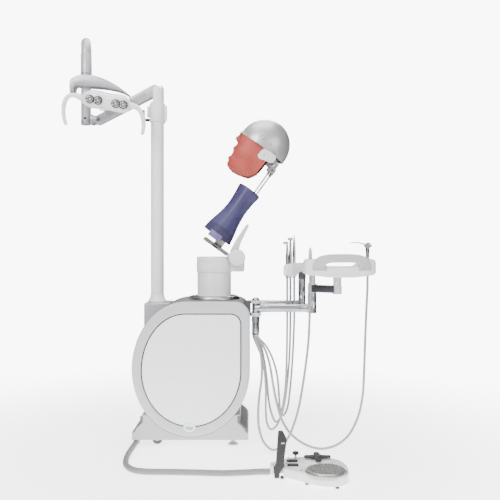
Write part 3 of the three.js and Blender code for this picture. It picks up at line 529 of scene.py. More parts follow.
K["tyre"] = material("tyre_black", (34, 34, 36), 0.72, var=0.1, bump=0.1, bscale=900, dust=0.3)
K["shelf"] = material("shelf_grey", (176, 179, 182), 0.45, metal=0.2, var=0.03, bump=0.03)
K["psu"] = material("box_dark", (66, 68, 72), 0.5, metal=0.3, var=0.05, bump=0.06, bscale=900)
K["bottle"] = material("bottle_clear", (206, 224, 232), 0.14, var=0.02, bump=0.0, trans=0.55, coat=0.3)
K["blue"] = material("cap_blue", (46, 92, 160), 0.4, var=0.04, bump=0.03)
K["green"] = material("latch_teal", (140, 184, 174), 0.35, var=0.04, bump=0.02)


# ------------------------------------------------------- camera, light, floor
cam_data = bpy.data.cameras.new("cam")
cam_data.lens, cam_data.sensor_width = 50.4, 36.0
cam = bpy.data.objects.new("cam", cam_data)
cam.location = (0.154771, -2.747, 0.792)
cam.rotation_euler = (math.pi / 2, 0, 0)
coll.objects.link(cam)
bpy.context.scene.camera = cam

world = bpy.data.worlds.new("studio")
bpy.context.scene.world = world
world.use_nodes = True
wn, wl = world.node_tree.nodes, world.node_tree.links
wbg = wn["Background"]
wtc = wn.new("ShaderNodeTexCoord")
wsep = wn.new("ShaderNodeSeparateXYZ")
wl.new(wtc.outputs["Generated"], wsep.inputs["Vector"])
wramp = wn.new("ShaderNodeValToRGB")
wmap = wn.new("ShaderNodeMapRange")
wmap.inputs["From Min"].default_value, wmap.inputs["From Max"].default_value = -1.0, 1.0
wl.new(wsep.outputs["X"], wmap.inputs["Value"])
wl.new(wmap.outputs["Result"], wramp.inputs["Fac"])
cr = wramp.color_ramp
cr.elements[0].position, cr.elements[0].color = 0.0, (0.16, 0.16, 0.17, 1)
cr.elements[1].position, cr.elements[1].color = 1.0, (0.13, 0.13, 0.14, 1)
for pos, g in ((0.20, 0.07), (0.33, 0.75), (0.5, 1.0), (0.66, 0.8), (0.80, 0.08)):
    e = cr.elements.new(pos)
    e.color = (g, g, g * 1.01, 1)
wmy = wn.new("ShaderNodeMapRange")
wmy.interpolation_type = "SMOOTHSTEP"
wmy.inputs["From Min"].default_value, wmy.inputs["From Max"].default_value = -0.15, 0.75
wmy.inputs["To Min"].default_value, wmy.inputs["To Max"].default_value = 1.0, 0.16
wl.new(wsep.outputs["Y"], wmy.inputs["Value"])
wmul = wn.new("ShaderNodeMix")
wmul.data_type, wmul.blend_type = "RGBA", "MULTIPLY"
wmul.inputs["Factor"].default_value = 1.0
wl.new(wramp.outputs["Color"], wmul.inputs["A"])
wl.new(wmy.outputs["Result"], wmul.inputs["B"])
wl.new(wmul.outputs["Result"], wbg.inputs["Color"])
wbg.inputs["Strength"].default_value = 1.35
wbg2 = wn.new("ShaderNodeBackground")
wbg2.inputs["Color"].default_value, wbg2.inputs["Strength"].default_value = (1, 1, 1, 1), 9.0
wlp = wn.new("ShaderNodeLightPath")
wmix = wn.new("ShaderNodeMixShader")
wl.new(wlp.outputs["Is Camera Ray"], wmix.inputs["Fac"])
wl.new(wbg.outputs["Background"], wmix.inputs[1])
wl.new(wbg2.outputs["Background"], wmix.inputs[2])
wl.new(wmix.outputs["Shader"], wn["World Output"].inputs["Surface"])


def area(name, loc, target, size, power, size_y=None):
    d = bpy.data.lights.new(name, "AREA")
    d.energy, d.size = power, size
    if size_y:
        d.shape, d.size_y = "RECTANGLE", size_y
    o = bpy.data.objects.new(name, d)
    o.location = loc
    o.rotation_euler = (Vector(target) - Vector(loc)).to_track_quat("-Z", "Y").to_euler()
    coll.objects.link(o)
    return o


area("key", (-1.8, -2.8, 3.0), (0, 0, 0.8), 1.6, 170)
area("fill", (2.4, -2.6, 1.8), (0.1, 0, 0.7), 1.8, 62)
area("top", (0.0, 0.2, 3.6), (0, 0, 0.6), 2.2, 95)
area("back", (0.4, 2.6, 3.2), (0, 0, 0.8), 1.4, 90)

fg = Geo()
fn_ = 96
fv, ff = [(0.0, 0.0, 0.0)], []
for k_, fr in enumerate((0.5, 0.9, 1.3, 1.7, 2.1, 2.6)):
    fv += [(fr * math.cos(2 * math.pi * i / fn_), fr * math.sin(2 * math.pi * i / fn_), 0.0) for i in range(fn_)]
    for i in range(fn_):
        j = (i + 1) % fn_
        if k_ == 0:
            ff.append((0, 1 + i, 1 + j))
        else:
            ff.append((1 + (k_ - 1) * fn_ + i, 1 + k_ * fn_ + i, 1 + k_ * fn_ + j, 1 + (k_ - 1) * fn_ + j))
fg.add(fv, ff)
fme = mesh_of(fg, Matrix.Translation((0, 0, -0.0006)), "floor")
floor = bpy.data.objects.new("floor", fme)
coll.objects.link(floor)
fm = bpy.data.materials.new("floor_white")
fm.use_nodes = True
fn, fl = fm.node_tree.nodes, fm.node_tree.links
fb = fn["Principled BSDF"]
fno = fn.new("ShaderNodeTexNoise")
fno.inputs["Scale"].default_value = 3.0
fra = fn.new("ShaderNodeValToRGB")
fra.color_ramp.elements[0].color, fra.color_ramp.elements[1].color = (0.90, 0.90, 0.90, 1), (0.94, 0.94, 0.94, 1)
fl.new(fno.outputs["Fac"], fra.inputs["Fac"])
fl.new(fra.outputs["Color"], fb.inputs["Base Color"])
fb.inputs["Roughness"].default_value = 0.8
fb.inputs["Specular IOR Level"].default_value = 0.1
fb.inputs["Emission Color"].default_value = (1, 1, 1, 1)
fb.inputs["Emission Strength"].default_value = 2.6
ftc = fn.new("ShaderNodeTexCoord")
flen = fn.new("ShaderNodeVectorMath")
flen.operation = "LENGTH"
fl.new(ftc.outputs["Object"], flen.inputs[0])
ffd = fn.new("ShaderNodeMapRange")
ffd.interpolation_type = "SMOOTHSTEP"
ffd.inputs["From Min"].default_value, ffd.inputs["From Max"].default_value = 0.55, 2.3
ffd.inputs["To Min"].default_value, ffd.inputs["To Max"].default_value = 1.0, 0.0
fl.new(flen.outputs["Value"], ffd.inputs["Value"])
fl.new(ffd.outputs["Result"], fb.inputs["Alpha"])
fme.materials.append(fm)


# ---------------------------------------------------------------------- hoses
ROUTES = {
    "hose_syringe": [[30.7, 34.4, 452.9], [30.7, 34.4, 443], [38, 27, 428], [59.8, 10, 393.4], [78.2, -20, 338], [92.6, -42, 252.2], [103.8, -48, 197.2], [126.1, -50, 122.2], [163.8, -50, 66], [223.9, -50, 24.4], [280.1, -50, 11.4], [336.4, -52, 24.9], [384.7, -55, 63.4], [421.9, -58, 135.5], [440.4, -60, 218.2], [447, -60, 330.9], [450.9, -60, 443.6], [455.5, -60, 557.1], [459.5, -60, 640], [460, -60, 689.7]],
    "hose_scaler": [[20, 31, 452.9], [20, 31, 443], [26, 24, 425], [40, 8, 390], [46, -20, 347.2], [46.5, -45, 296.1], [37.5, -66, 230.4], [31.9, -74, 165.4], [35.4, -76, 98.9], [54.1, -76, 42.9], [87.9, -76, 14.1], [122.6, -76, 27.3], [151, -76, 65.5], [169.7, -76, 110.6], [188.4, -75, 173], [203.6, -70, 250.3], [218.8, -65, 350.5], [229.2, -62, 443.9], [234.1, -60, 557.1], [236, -60, 630], [236, -60, 689.7]],
    "hose_a": [[13.5, 40, 452.9], [13.5, 40, 443], [19, 45.5, 427], [32, 54, 396], [52, 62, 342.3], [64.7, 68, 230.7], [64.8, 70, 132.3], [70.9, 70, 77.8], [85.3, 70, 55.6], [105, 70, 67.1], [119.7, 70, 93], [131.6, 70, 140.1], [143.5, 70, 210.6], [150.5, 70, 348], [152.5, 70, 505], [152.5, 70, 600], [152.5, 70, 675.7]],
    "hose_b": [[20, 49, 452.9], [20, 49, 443], [27, 56, 427], [45.9, 70, 394], [58.5, 84, 338.8], [68.6, 91, 265.8], [76.9, 93, 174.6], [89.3, 93, 115], [106.6, 93, 81.1], [124.8, 93, 95.6], [138.9, 93, 141.9], [151.3, 93, 220.8], [162.8, 93, 347.7], [167, 93, 502.7], [167, 93, 600], [167, 93, 675.7]],
    "hose_c": [[30.7, 45.6, 452.9], [30.7, 45.6, 443], [40, 56, 428], [64, 82, 400], [91.3, 104, 346.9], [112.4, 114, 274.1], [120.8, 116, 189.6], [125.8, 116, 126.7], [139.1, 116, 102.2], [155, 116, 131.3], [166.6, 116, 210.5], [177.5, 116, 343.8], [184, 116, 500.4], [184, 116, 600], [184, 116, 675.7]],
}
PEDAL_ROUTE = [[-463, 45.6, 11.4], [-463.5, 20, 11.4], [-464, -12, 11.4], [-466, -91, 11.4], [-463, -181, 11.4], [-448, -263, 11.4], [-416.6, -312, 11.4], [-376.6, -331, 11.4], [-275.4, -337, 11.4], [-180, -344, 11.4], [-93.3, -351, 11.4], [-13, -342, 11.4], [35, -334, 11.4], [60, -333, 11.4], [71.2, -333, 11.4]]


def hose_piece(name, pts, r, mat_, a, b, nodes):
    """A swept hose through design points; it rides on body a unless a body b is given, and then it is left unparented
    and baked in place.
    """
    g = Geo()
    g.tube(pts, r, n=18, cap=True)
    o = piece(name, g, None if b else a, [mat_], nodes, angle=60)
    if b:
        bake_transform(o)
    return o


for hn, hy in (("hose_a", 70), ("hose_b", 93), ("hose_c", 116)):
    hose_piece(hn + "_line", resample(spline(ROUTES[hn], 10), 90, False) + [tuple(ROUTES[hn][-1])], 4.4, K["hose2"], "delivery", "rack", [hn])
for hn, k in (("hose_syringe", 10), ("hose_scaler", 10)):
    full = ROUTES[hn]
    dense = spline(full, 10)
    cut_at = 10 * k
    first, second = dense[: cut_at + 1], dense[cut_at:]
    hose_piece(hn + "_supply", first, 4.9, K["hose"], "delivery", "link", [hn])
    hose_piece(hn + "_rise", second, 4.9, K["hose"], "link", "tray", [hn])

pg = Geo()
ppts = resample(spline(PEDAL_ROUTE, 14), 420, False) + [tuple(PEDAL_ROUTE[-1])]
prad = [11.0 - 0.55 * (0.5 + 0.5 * math.cos(2 * math.pi * i / 3.0)) for i in range(len(ppts))]
pg.tube(ppts, prad, n=24)
pedal_line = piece("pedal_hose_line", pg, "root", [K["sheath"]], ["pedal_hose"], angle=180)


# -------------------------------------------------------------------- cabinet
def d_outline(x0, x1, z0, z1, xt0, rc, zc, d=0.0, n=30):
    X0, X1, Z0, Z1, r, xb = x0 - d, x1 + d, z0 - d, z1 + d, rc + d, (x0 + x1) / 2
    p = [(xt0 + (X1 - r - xt0) * k / 8, Z1) for k in range(8, 0, -1)]
    p += arc(xt0, zc, xt0 - X0, Z1 - zc, 90, 180, n)
    p += arc(xb, zc, xb - X0, zc - Z0, 180, 270, n)[1:]
    p += arc(xb, zc, X1 - xb, zc - Z0, 270, 360, n)[1:]
    p += [(X1, zc + (Z1 - r - zc) * k / 8) for k in range(1, 8)]
    p += arc(X1 - r, Z1 - r, r, r, 0, 90, 12)[:-1]
    return p


cab = lambda d=0.0: d_outline(-475, 0, 42, 584, -260, 60, 312, d)
door = lambda d=0.0: d_outline(-436, -36, 84, 536, -260, 42, 308, d)


def ring_face(g, outer, inner, y_levels_out, y_levels_in, mi=0):
    """A D-shaped frame: one closed loop of rings going round outside, front and inside."""
    rings = []
    for (pts, y) in y_levels_out + y_levels_in:
        rings.append([(x, y, z) for x, z in pts])
    g.rings(rings, mi, close=True)


o_, i_ = cab(), door(1.5)
g = Geo()
outs = [(inset(o_, 9 * (1 - math.cos(q * D2R))), 9 * (1 - math.sin(q * D2R))) for q in (0, 22, 45, 68, 90)]
ins = [(inset(i_, -3 * (1 - math.cos(q * D2R))), 3 * (1 - math.sin(q * D2R))) for q in (90, 60, 30, 0)]
ring_face(g, o_, i_, [(o_, 30)] + outs, ins + [(i_, 30)])
# the near-black ring (index 1) behind the widened door gap is painted shade that makes the seam look dark
g.rings([[(x, y, z) for x, z in p] for p, y in ((door(3), 6.5), (inset(door(0), 3), 6.5), (inset(door(0), 3), 7.5), (door(3), 7.5))], 1, close=True)
piece("bezel", g, "root", [K["bezel"], K["seam"]], ["front_frame"], angle=50)

g = Geo()
g.rings([[(x, y, z) for x, z in p] for p, y in ((cab(0), 30.3), (cab(0), 120), (cab(0), 250), (cab(0), 370), (cab(-6), 370), (cab(-6), 30.3))], 0, close=True)
piece("drum_sheet", g, "root", [K["shell"]], ["cabinet_shell"], angle=40)

g = Geo()
g.prism(cab(0), 370.3, 380, "Y", r0=0, r1=5, seg=4)
for x, z in ((-425, 312), (-50, 312), (-237, 72), (-120, 550), (-330, 540), (-60, 160), (-415, 160)):
    g.lathe([(0, 379.4), (5.2, 379.4), (5.0, 379.8), (4.2, 379.95), (2.0, 379.95), (1.8, 379.5), (0, 379.5)], x, 0, z, "Y", 20, 1)
# the vent slots are filled with the near-black painted shade
for k in range(9):
    zz = 250 + 12 * k
    g.prism(fillet([(-330, zz), (-145, zz), (-145, zz + 4.5), (-330, zz + 4.5)], 2.2, 4), 379.0, 379.98, "Y", mi=2)
piece("rear_cover_skin", g, "root", [K["white"], K["chrome"], K["seam"]], ["rear_cover"], angle=40)

g = Geo()
dr = inset(door(0), 3.0)
g.prism(dr, 0.2, 6, "Y", r0=2.6, r1=0.4, seg=5)
g.prism(inset(door(0), 5), 5.9, 22, "Y", r0=0.4, r1=1, seg=3)
tab = fillet([(-217, 90), (-218.5, 80), (-224, 71), (-232, 66.5), (-242, 65), (-252, 66.5), (-260, 71), (-265.5, 80), (-267, 90)], 4, 3)
g.prism(tab, -4, -0.2, "Y", r0=2.0, r1=0, seg=4, mi=0)
g.prism(fillet([(-224, 86), (-229, 76), (-242, 71.5), (-255, 76), (-260, 86)], 3, 3), -4.4, -3.9, "Y", mi=1)
g.box(-80, -46, 21.8, 34, 450, 480, 1.5, 2)
g.box(-80, -46, 21.8, 34, 316, 346, 1.5, 2)
g.box(-259, -225, -3.9, 1.2, 88.5, 96.5, 0.9, 0, axis="Y")
piece("door_panel", g, "door", [K["door"], K["green"], K["steelx"]], ["front_door"], angle=40)

# plinth with sloped dark shoulders, cut by the drum
prof = fillet([(-474, 30), (-6, 30), (-6, 60), (-12, 72), (-40, 98), (-40, 130), (-436, 130), (-436, 98), (-466, 72), (-474, 60)], [4, 4, 9, 7, 4, 4, 4, 4, 7, 9], 5)
g = Geo()
g.prism(prof, 4, 376, "Y", r=2.4, seg=3)
cut1 = Geo()
cut1.prism(cab(0.2), -5, 385, "Y")
cut2, cut3 = Geo(), Geo()
cut2.rod(-392, 62, 0, "Z", 10, 62, 42, 0.5)
cut3.rod(-392, 318, 0, "Z", 10, 62, 42, 0.5)
me = carve(g, M0, [cut1, cut2, cut3])
pl = piece("plinth_body", me, "root", [K["plinth"], K["shoulder"]], ["base_plinth"], angle=35)
for p in pl.data.polygons:
    c, n_ = p.center, p.normal
    x, y, z = (c.x - SX) * 1000, (c.y - SY) * 1000, c.z * 1000
    p.material_index = 1 if (z > 63 and 7 < y < 373 and (x < -436 or x > -40) and abs(n_.y) < 0.5) else 0
g = Geo()
for sx in (-1, 1):
    g.prism([(-240 + sx * x, z) for x, z in ((233, 58), (228.5, 71), (200.5, 97), (200.5, 127), (189, 127), (189, 101), (214, 78), (223, 61))], 3.2, 4.4, "Y", 0.3, 1)
piece("plinth_inlay", g, "root", [K["shoulder"]], ["base_plinth"], angle=35)
g = Geo()
g.box(-474, -451, 46, 84, 1, 30.4, 2.5, 0)
g.rod(-463, 0, 11.4, "Y", 44.5, 50, 10.6, 1.5, 32, 1)
piece("hose_gland", g, "root", [K["plinth"], K["black"]], ["base_plinth"], angle=35)
g = Geo()
g.box(-456, -345, 205, 372, 300, 564, 7, 0)
cutd = Geo()
cutd.prism(cab(0.3), 190, 400, "Y")
cutb = Geo()
cutb.box(-480, -340, 200, 400, 200, 424, 0.1)
piece("pole_box", carve(g, M0, [cutd, cutb]), "root", [K["armgrey"]], ["pole_housing"], angle=35)

g = Geo()
g.box(-425, -50, 45, 355, 196, 204, 2, 0)
piece("shelf_board", g, "root", [K["shelf"]], ["inner_shelf"])
g = Geo()
g.box(-200, -70, 120, 300, 204.3, 300, 3, 0)
for k in range(8):
    g.box(-185 + 13 * k, -179 + 13 * k, 119.4, 120.6, 225, 262, 0.6, 1, axis="Y")
g.box(-185, -150, 119.2, 120.8, 272, 288, 1, 2, axis="Y")
piece("supply_box", g, "root", [K["psu"], K["black"], K["blue"]], ["power_supply"])
g = Geo()
g.lathe([(0, 204.3), (42, 204.3), (45, 206), (46, 212), (46, 258), (44.6, 262), (44.6, 292), (46, 296), (46, 350), (43, 364), (34, 380), (22, 390), (20, 393), (20, 412), (0, 412)], -330, 200, 0, "Z", 48, 0)
g.lathe([(0, 412.5), (23, 412.5), (24, 414), (24, 434), (22.5, 436), (0, 436)], -330, 200, 0, "Z", 36, 1)
piece("bottle_body", g, "root", [K["bottle"], K["blue"]], ["water_bottle"])

for n_, y in (("front", 50), ("rear", 330)):
    g = Geo()
    g.lathe([(0, 0), (18, 0), (20, 0.8), (21, 2.5), (21, 5.5), (19.5, 7), (10, 12.5), (7, 14), (0, 14)], -69, y, 0, "Z", 40, 0)
    g.lathe([(0, 13.5), (9, 13.5), (9.6, 14.2), (9.6, 18.4), (9, 19), (0, 19)], -69, y, 0, "Z", 6, 0)
    prof2 = []
    for k in range(12):
        prof2 += [(5.4, 14 + k * 0.9), (6.0, 14.45 + k * 0.9)]
    g.lathe([(0, 14)] + prof2 + [(0, 24.7)], -69, y, 0, "Z", 24, 0)
    piece("levelling_foot_" + n_, g, "root", [K["steelx"]], ["foot_" + n_], angle=30)
for n_, y in (("front", 62), ("rear", 318)):
    g = Geo()
    g.rod(-392, y, 0, "Z", 53, 61.7, 11, 1, 32)
    g.box(-406, -368, y - 14, y + 14, 47, 54, 3, 0)
    for s0, s1 in ((y - 14, y - 10.5), (y + 10.5, y + 14)):
        g.prism(fillet([(-398, 50), (-370, 50), (-370, 22), (-374, 15), (-382, 15), (-386, 22)], 3, 3), s0, s1, "Y", 0.5)
    g.rod(-378, 0, 22, "Y", y - 14, y - 9.2, 5, 0.8, 24, 0)
    g.rod(-378, 0, 22, "Y", y + 9.2, y + 14, 5, 0.8, 24, 0)
    piece("castor_yoke_" + n_, g, "castor_" + n_, [K["steelx"]], ["castor_fork_" + n_], angle=35)
    g = Geo()
    g.lathe([(13, -8.5), (18, -9), (20.5, -8), (21.8, -5), (22, 0), (21.8, 5), (20.5, 8), (18, 9), (13, 8.5), (12.6, 0)], -378, y, 22, "Y", 48, 0)
    g.lathe([(0, -6.5), (11, -6.5), (13.2, -8.2), (13.4, 0), (13.2, 8.2), (11, 6.5), (0, 6.5)], -378, y, 22, "Y", 40, 1)
    piece("castor_tyre_" + n_, g, "wheel_" + n_, [K["tyre"], K["chrome"]], ["castor_wheel_" + n_], angle=40)


# ------------------------------------------------------------ operating light
g = Geo()
g.lathe([(0, 564.3), (39.5, 564.3), (41, 565.5), (41, 568), (40, 570), (36, 575), (32.5, 582), (31, 590), (29, 594), (0, 594)], -410, 300, 0, "Z", 56, 0)
g.lathe([(0, 580), (28.7, 580)] + [(28.7, 580 + 85 * k) for k in range(1, 11)] + [(28.7, 1438.7), (0, 1438.7)], -410, 300, 0, "Z", 56, 0)
piece("pole_tube", g, "root", [K["white"]], ["light_post"], angle=40)

g = Geo()
rg = []
for r, h in ((29.2, 1357), (33, 1357), (34, 1358.2), (34, 1437.3), (33, 1438.4), (29.2, 1438.4)):
    rg.append([(-410 + r * math.cos(2 * math.pi * i / 56), 300 + r * math.sin(2 * math.pi * i / 56), h) for i in range(56)])
g.rings(rg, 0, close=True)
g.box(-377.5, -368, 290, 310, 1365, 1430, 1.6, 0)
g.box(-383, -376, 291, 309, 1372, 1424, 1, 0)
g.box(-470, -442.5, 294, 306, 1362, 1373, 2, 1)
g.tube([(-447, 300, 1367), (-466, 300, 1367.5), (-469, 300, 1376), (-469.5, 300, 1392), (-470.5, 300, 1408)], [5.2, 4.6, 4.2, 4.0, 5.2], 18, 1, cap="round")
g.box(-455, -444, 292, 308, 1380, 1428, 1.2, 2)
g.rod(-379, 300, 0, "Z", 1352.5, 1362, 5.2, 0.8, 24, 2)
piece("collar_clamp", g, "root", [K["white"], K["black"], K["cap"]], ["post_collar"], angle=40)

g = Geo()
g.lathe([(0, 1439), (28.2, 1439), (29, 1440), (29, 1500)] + [(29 * math.cos(q * D2R), 1500 + 28 * math.sin(q * D2R)) for q in range(6, 90, 7)] + [(0, 1528)], -410, 300, 0, "Z", 64, 0)
c1 = Geo()
c1.box(-480, -393, 276.5, 323.5, 1446, 1545, 0.2)
piece("turret_shell", carve(g, M0, [c1]), "light_turret", [K["white"]], ["light_elbow"], angle=35)

ax, az, bx, bz = -420, 1497, -668, 1366
t_ = math.degrees(math.atan2(bz - az, bx - ax))
o2 = arc(ax, az, 24, 24, t_ + 90, t_ + 270, 20) + arc(bx, bz, 20, 20, t_ - 90, t_ + 90, 20)
g = Geo()
g.prism(o2, 279.2, 320.8, "Y", r=6, seg=5)
dirv = Vector((bx - ax, bz - az)).normalized()
nrm = Vector((-dirv.y, dirv.x))


def along(s, w):
    return (ax + dirv.x * s + nrm.x * w, az + dirv.y * s + nrm.y * w)


for y0, y1 in ((278.6, 279.6), (320.4, 321.4)):
    g.prism(fillet([along(44, -11), along(232, -9), along(232, 9), along(44, 11)], 5, 4), y0, y1, "Y", mi=1)
for s_ in (0, 280.4):
    px, pz = along(s_, 0)
    g.rod(px, 0, pz, "Y", 277.4, 322.6, 9.5, 1.2, 36, 2)
piece("boom_cover", g, "light_boom", [K["armgrey"], K["yokegrey"], K["cap"]], ["light_arm"], angle=40)

g = Geo()
g.box(-703.6, -689.6, 274.6, 325.4, 1346, 1388, 3.5, 0)
for s0, s1 in ((274.5, 278.5), (321.5, 325.5)):
    g.prism(fillet([(-703.6, 1351), (-668, 1349), (-653, 1358), (-653, 1374), (-668, 1383), (-703.6, 1381)], 6, 4), s0, s1, "Y", 0.8)
for s0, s1 in ((272.6, 275), (325, 327.4)):
    g.rod(-668, 0, 1366, "Y", s0, s1, 8, 0.7, 30, 1)
piece("knuckle_cast", g, "light_knuckle", [K["yokegrey"], K["joint"]], ["arm_knuckle"], angle=40)

mx, my, dx, dy = -712.5, 245.0, 13.5, -55.0
R_ = math.hypot(dx, dy)
gp = [(-726, 300, 1346.5 + 12 * k) for k in range(22)]
gp += [(mx - dx * math.cos(a), my - dy * math.cos(a), 1690.5 - R_ + R_ * math.sin(a)) for a in [math.pi * k / 28 for k in range(29)]]
gp += [(-699, 190, 1600 - 9.5 * k) for k in range(1, 7)]
g = Geo()
g.tube(gp, 21.6, 44, 0, cap=True)
g.lathe([(0, 1545.2), (22.5, 1545.2), (23.4, 1546), (23.4, 1627), (22.6, 1628.2), (21.4, 1628.2)], -699, 190, 0, "Z", 48, 0)
g.lathe([(0, 1346), (19.5, 1345.9), (22, 1348.5), (22.2, 1352), (22.2, 1366), (21.4, 1368), (0, 1368)], -726, 300, 0, "Z", 48, 1)
g.rod(-726, 0, 1372, "Y", 277, 279.6, 5.5, 0.8, 24, 2)
piece("swan_neck", g, "light_gooseneck", [K["goose"], K["yokegrey"], K["black"]], ["gooseneck"], angle=40)

yo = spline([(-761, 1458), (-763, 1490), (-757, 1514), (-742, 1524), (-722, 1531), (-700, 1533), (-676, 1532), (-640, 1524), (-602, 1509), (-553, 1481), (-522, 1458), (-508, 1446)], 8)
yi = spline([(-512, 1444), (-546, 1462), (-600, 1475), (-640, 1480), (-678, 1482), (-715, 1484), (-736, 1486), (-742, 1478), (-743, 1458)], 8)
g = Geo()
g.prism(list(yo) + list(yi), 152.3, 205.7, "Y", r=3.0, seg=4)
g.lathe([(0, 1524), (25, 1524), (25, 1530), (24, 1534), (23.9, 1543), (23.2, 1544.6), (0, 1544.6)], -699, 190, 0, "Z", 48, 0)
piece("yoke_arch", g, "light_yoke", [K["yokegrey"]], ["lamp_yoke"], angle=45)

# lamp head: stations along its width, rounded sections, raised eyes
g = Geo()
st = []
top = spline([(-106, 5), (-100, 20), (-80, 33), (-45, 39), (-10, 36), (20, 35), (55, 37), (82, 32), (100, 16), (106, -2)], 6)
bot = spline([(-106, -3), (-100, -22), (-80, -34), (-45, -37), (-10, -35), (20, -37), (55, -39), (82, -37), (100, -24), (106, -8)], 6)
fro = spline([(-106, -6), (-98, -20), (-80, -31), (-45, -37), (0, -36), (45, -37), (80, -32), (98, -20), (106, -6)], 6)
bak = spline([(-106, 6), (-98, 20), (-80, 34), (-45, 41), (0, 43), (45, 41), (80, 34), (98, 20), (106, 6)], 6)
f_ = lambda cur, x: float(np.interp(x, [p[0] for p in cur], [p[1] for p in cur]))
for k in range(49):
    x = -105.6 * math.cos(math.pi * k / 48)
    zt, zb, yf, yb = f_(top, x), f_(bot, x), f_(fro, x), f_(bak, x)
    ring = []
    for i in range(48):
        a = 2 * math.pi * i / 48
        ca, sa = math.cos(a), math.sin(a)
        e = 0.72
        yy = math.copysign(abs(ca) ** e, ca)
        zz = math.copysign(abs(sa) ** e, sa)
        cy, cz = (yf + yb) / 2, (zt + zb) / 2
        ring.append((x, cy + yy * (yb - yf) / 2, cz + zz * (zt - zb) / 2))
    st.append(ring)
g.rings(st, 0)
g.box(-16, 12, -38.0, -33, -38, -33.5, 1.0, 1, axis="X")
g.rod(0, 0, 0, "X", -112, -104, 12, 2, 36, 0)
g.rod(0, 0, -3, "X", 104, 112, 11, 2, 36, 0)
piece("lamp_shell", g, "lamp", [K["lampw"], K["black"]], ["lamp_body"], M=ML, angle=60)

g = Geo()
for x, z in ((-60, 2), (-26, 2), (49, 0), (81, 0)):
    yf = f_(fro, x)
    b0 = -38.2
    g.lathe([(0, 8), (18.6, 8), (18.6, -2.0), (18.0, -3.4), (16.6, -4.0), (15.2, -3.6), (14.6, -2.4), (14.2, 0.2), (0, 0.2)], x, b0, z, "Y", 44, 0)
    g.lathe([(0, 3.2), (6, 3.2), (11, 1.0), (14.0, -1.4), (14.2, -1.0), (11, 1.6), (6, 3.8), (0, 3.8)], x, b0 - 1.2, z, "Y", 40, 1)
    g.lathe([(0, -4.6), (4, -4.4), (8, -3.8), (12, -2.4), (14.2, -0.6), (0, -0.4)], x, b0, z, "Y", 40, 2)
    g.lathe([(0, -5.4), (2.4, -5.0), (3.0, -4.2), (0, -4.0)], x, b0, z, "Y", 20, 3)
for xa, xb in ((-46, -40), (62, 68)):
    g.box(xa, xb, -40.6, -36, -2, 4, 0.8, 0, axis="Y")
piece("lens_group", g, "lamp", [K["ring"], K["refl"], K["lens"], K["lampw"]], ["lens_panel"], M=ML, angle=40)

hl = spline([(-106, -2, 0), (-126, -4, 4), (-148, -8, 3), (-163, -11, -8), (-171, -14, -30), (-173, -16, -60), (-167, -18, -94), (-158, -18, -117)], 6)
g = Geo()
n_ = len(hl)
g.tube(hl, [14.0 - 4.5 * min(1, k / 10) + 0.3 * math.sin(k) - 2.3 * max(0, (k - n_ * 0.55) / (n_ * 0.45)) for k in range(n_)], 28, 0, cap="round", squash=0.86)
piece("horn_left", g, "lamp", [K["lampw"]], ["lamp_handle_left"], M=ML, angle=60)
hr = spline([(106, -2, -2), (124, -5, -3), (144, -9, -12), (160, -13, -34), (169, -15, -64), (171, -17, -88), (170, -18, -107)], 6)
g = Geo()
n_ = len(hr)
g.tube(hr, [14.0 - 4.0 * min(1, k / 10) - 2.6 * max(0, (k - n_ * 0.5) / (n_ * 0.5)) for k in range(n_)], 28, 0, cap="round", squash=0.86)
piece("horn_right", g, "lamp", [K["lampw"]], ["lamp_handle_right"], M=ML, angle=60)


# ------------------------------------------------------------ column and torso
g = Geo()
g.lathe([(0, 584.3), (107, 584.3), (108, 585.2), (108, 590), (106.5, 592.6), (101, 596.5), (97, 598), (74, 598.4), (72.6, 599.4), (72, 601), (72, 696), (71, 697.7), (0, 697.7)], -153, 200, 0, "Z", 72, 0)
for k in range(6):
    a = math.pi / 3 * k + 0.4
    g.lathe([(0, 597.2), (4.2, 597.2), (4.2, 600.6), (3.6, 601.2), (1.8, 601.2), (1.6, 600.2), (0, 600.2)], -153 + 87 * math.cos(a), 200 + 87 * math.sin(a), 0, "Z", 20, 1)
co = piece("column_tube", g, "root", [K["column"], K["chrome"], K["steelx"]], ["column_base"], angle=40)
for p_ in co.data.polygons:
    if p_.center.z < 0.5985 and p_.material_index == 0 and ((p_.center.x - 0.001771) ** 2 + (p_.center.y - 0.253) ** 2) ** 0.5 > 0.073:
        p_.material_index = 2

g = Geo()
g.lathe([(0, 698), (74.2, 698), (75, 699), (75, 738), (74.6, 739), (75, 740), (75, 761), (73.5, 763.4), (71, 764), (0, 764)], -153, 200, 0, "Z", 72, 0)
c1 = Geo()
c1.rod(-55, 0, 760, "Y", 120, 280, 38, 0.5, 48)
me1 = carve(g, M0, [c1])
piece("sleeve_drum", me1, "column_top", [K["column"]], ["column_sleeve"], angle=35)
g = Geo()
g.box(-150, -26, 173, 227, 700, 726, 3, 0)
c1 = Geo()
c1.rod(-55, 0, 760, "Y", 120, 280, 38, 0.5, 48)
piece("sleeve_cheek", carve(g, M0, [c1]), "column_top", [K["column"]], ["column_sleeve"], angle=35)
g = Geo()
g.rod(-55, 0, 760, "Y", 172.2, 227.8, 34, 2, 56, 0)
g.box(-86, -23.5, 173.8, 226.2, 704, 744, 3.5, 0)
g.lathe([(0, 0.8), (3.4, 0.8), (3.4, 0), (2.0, -0.2), (0, -0.2)], -148, 125.6, 722, "Y", 20, 1)
piece("hinge_barrel", g, "column_top", [K["column"], K["chrome"]], ["column_sleeve"], angle=38)

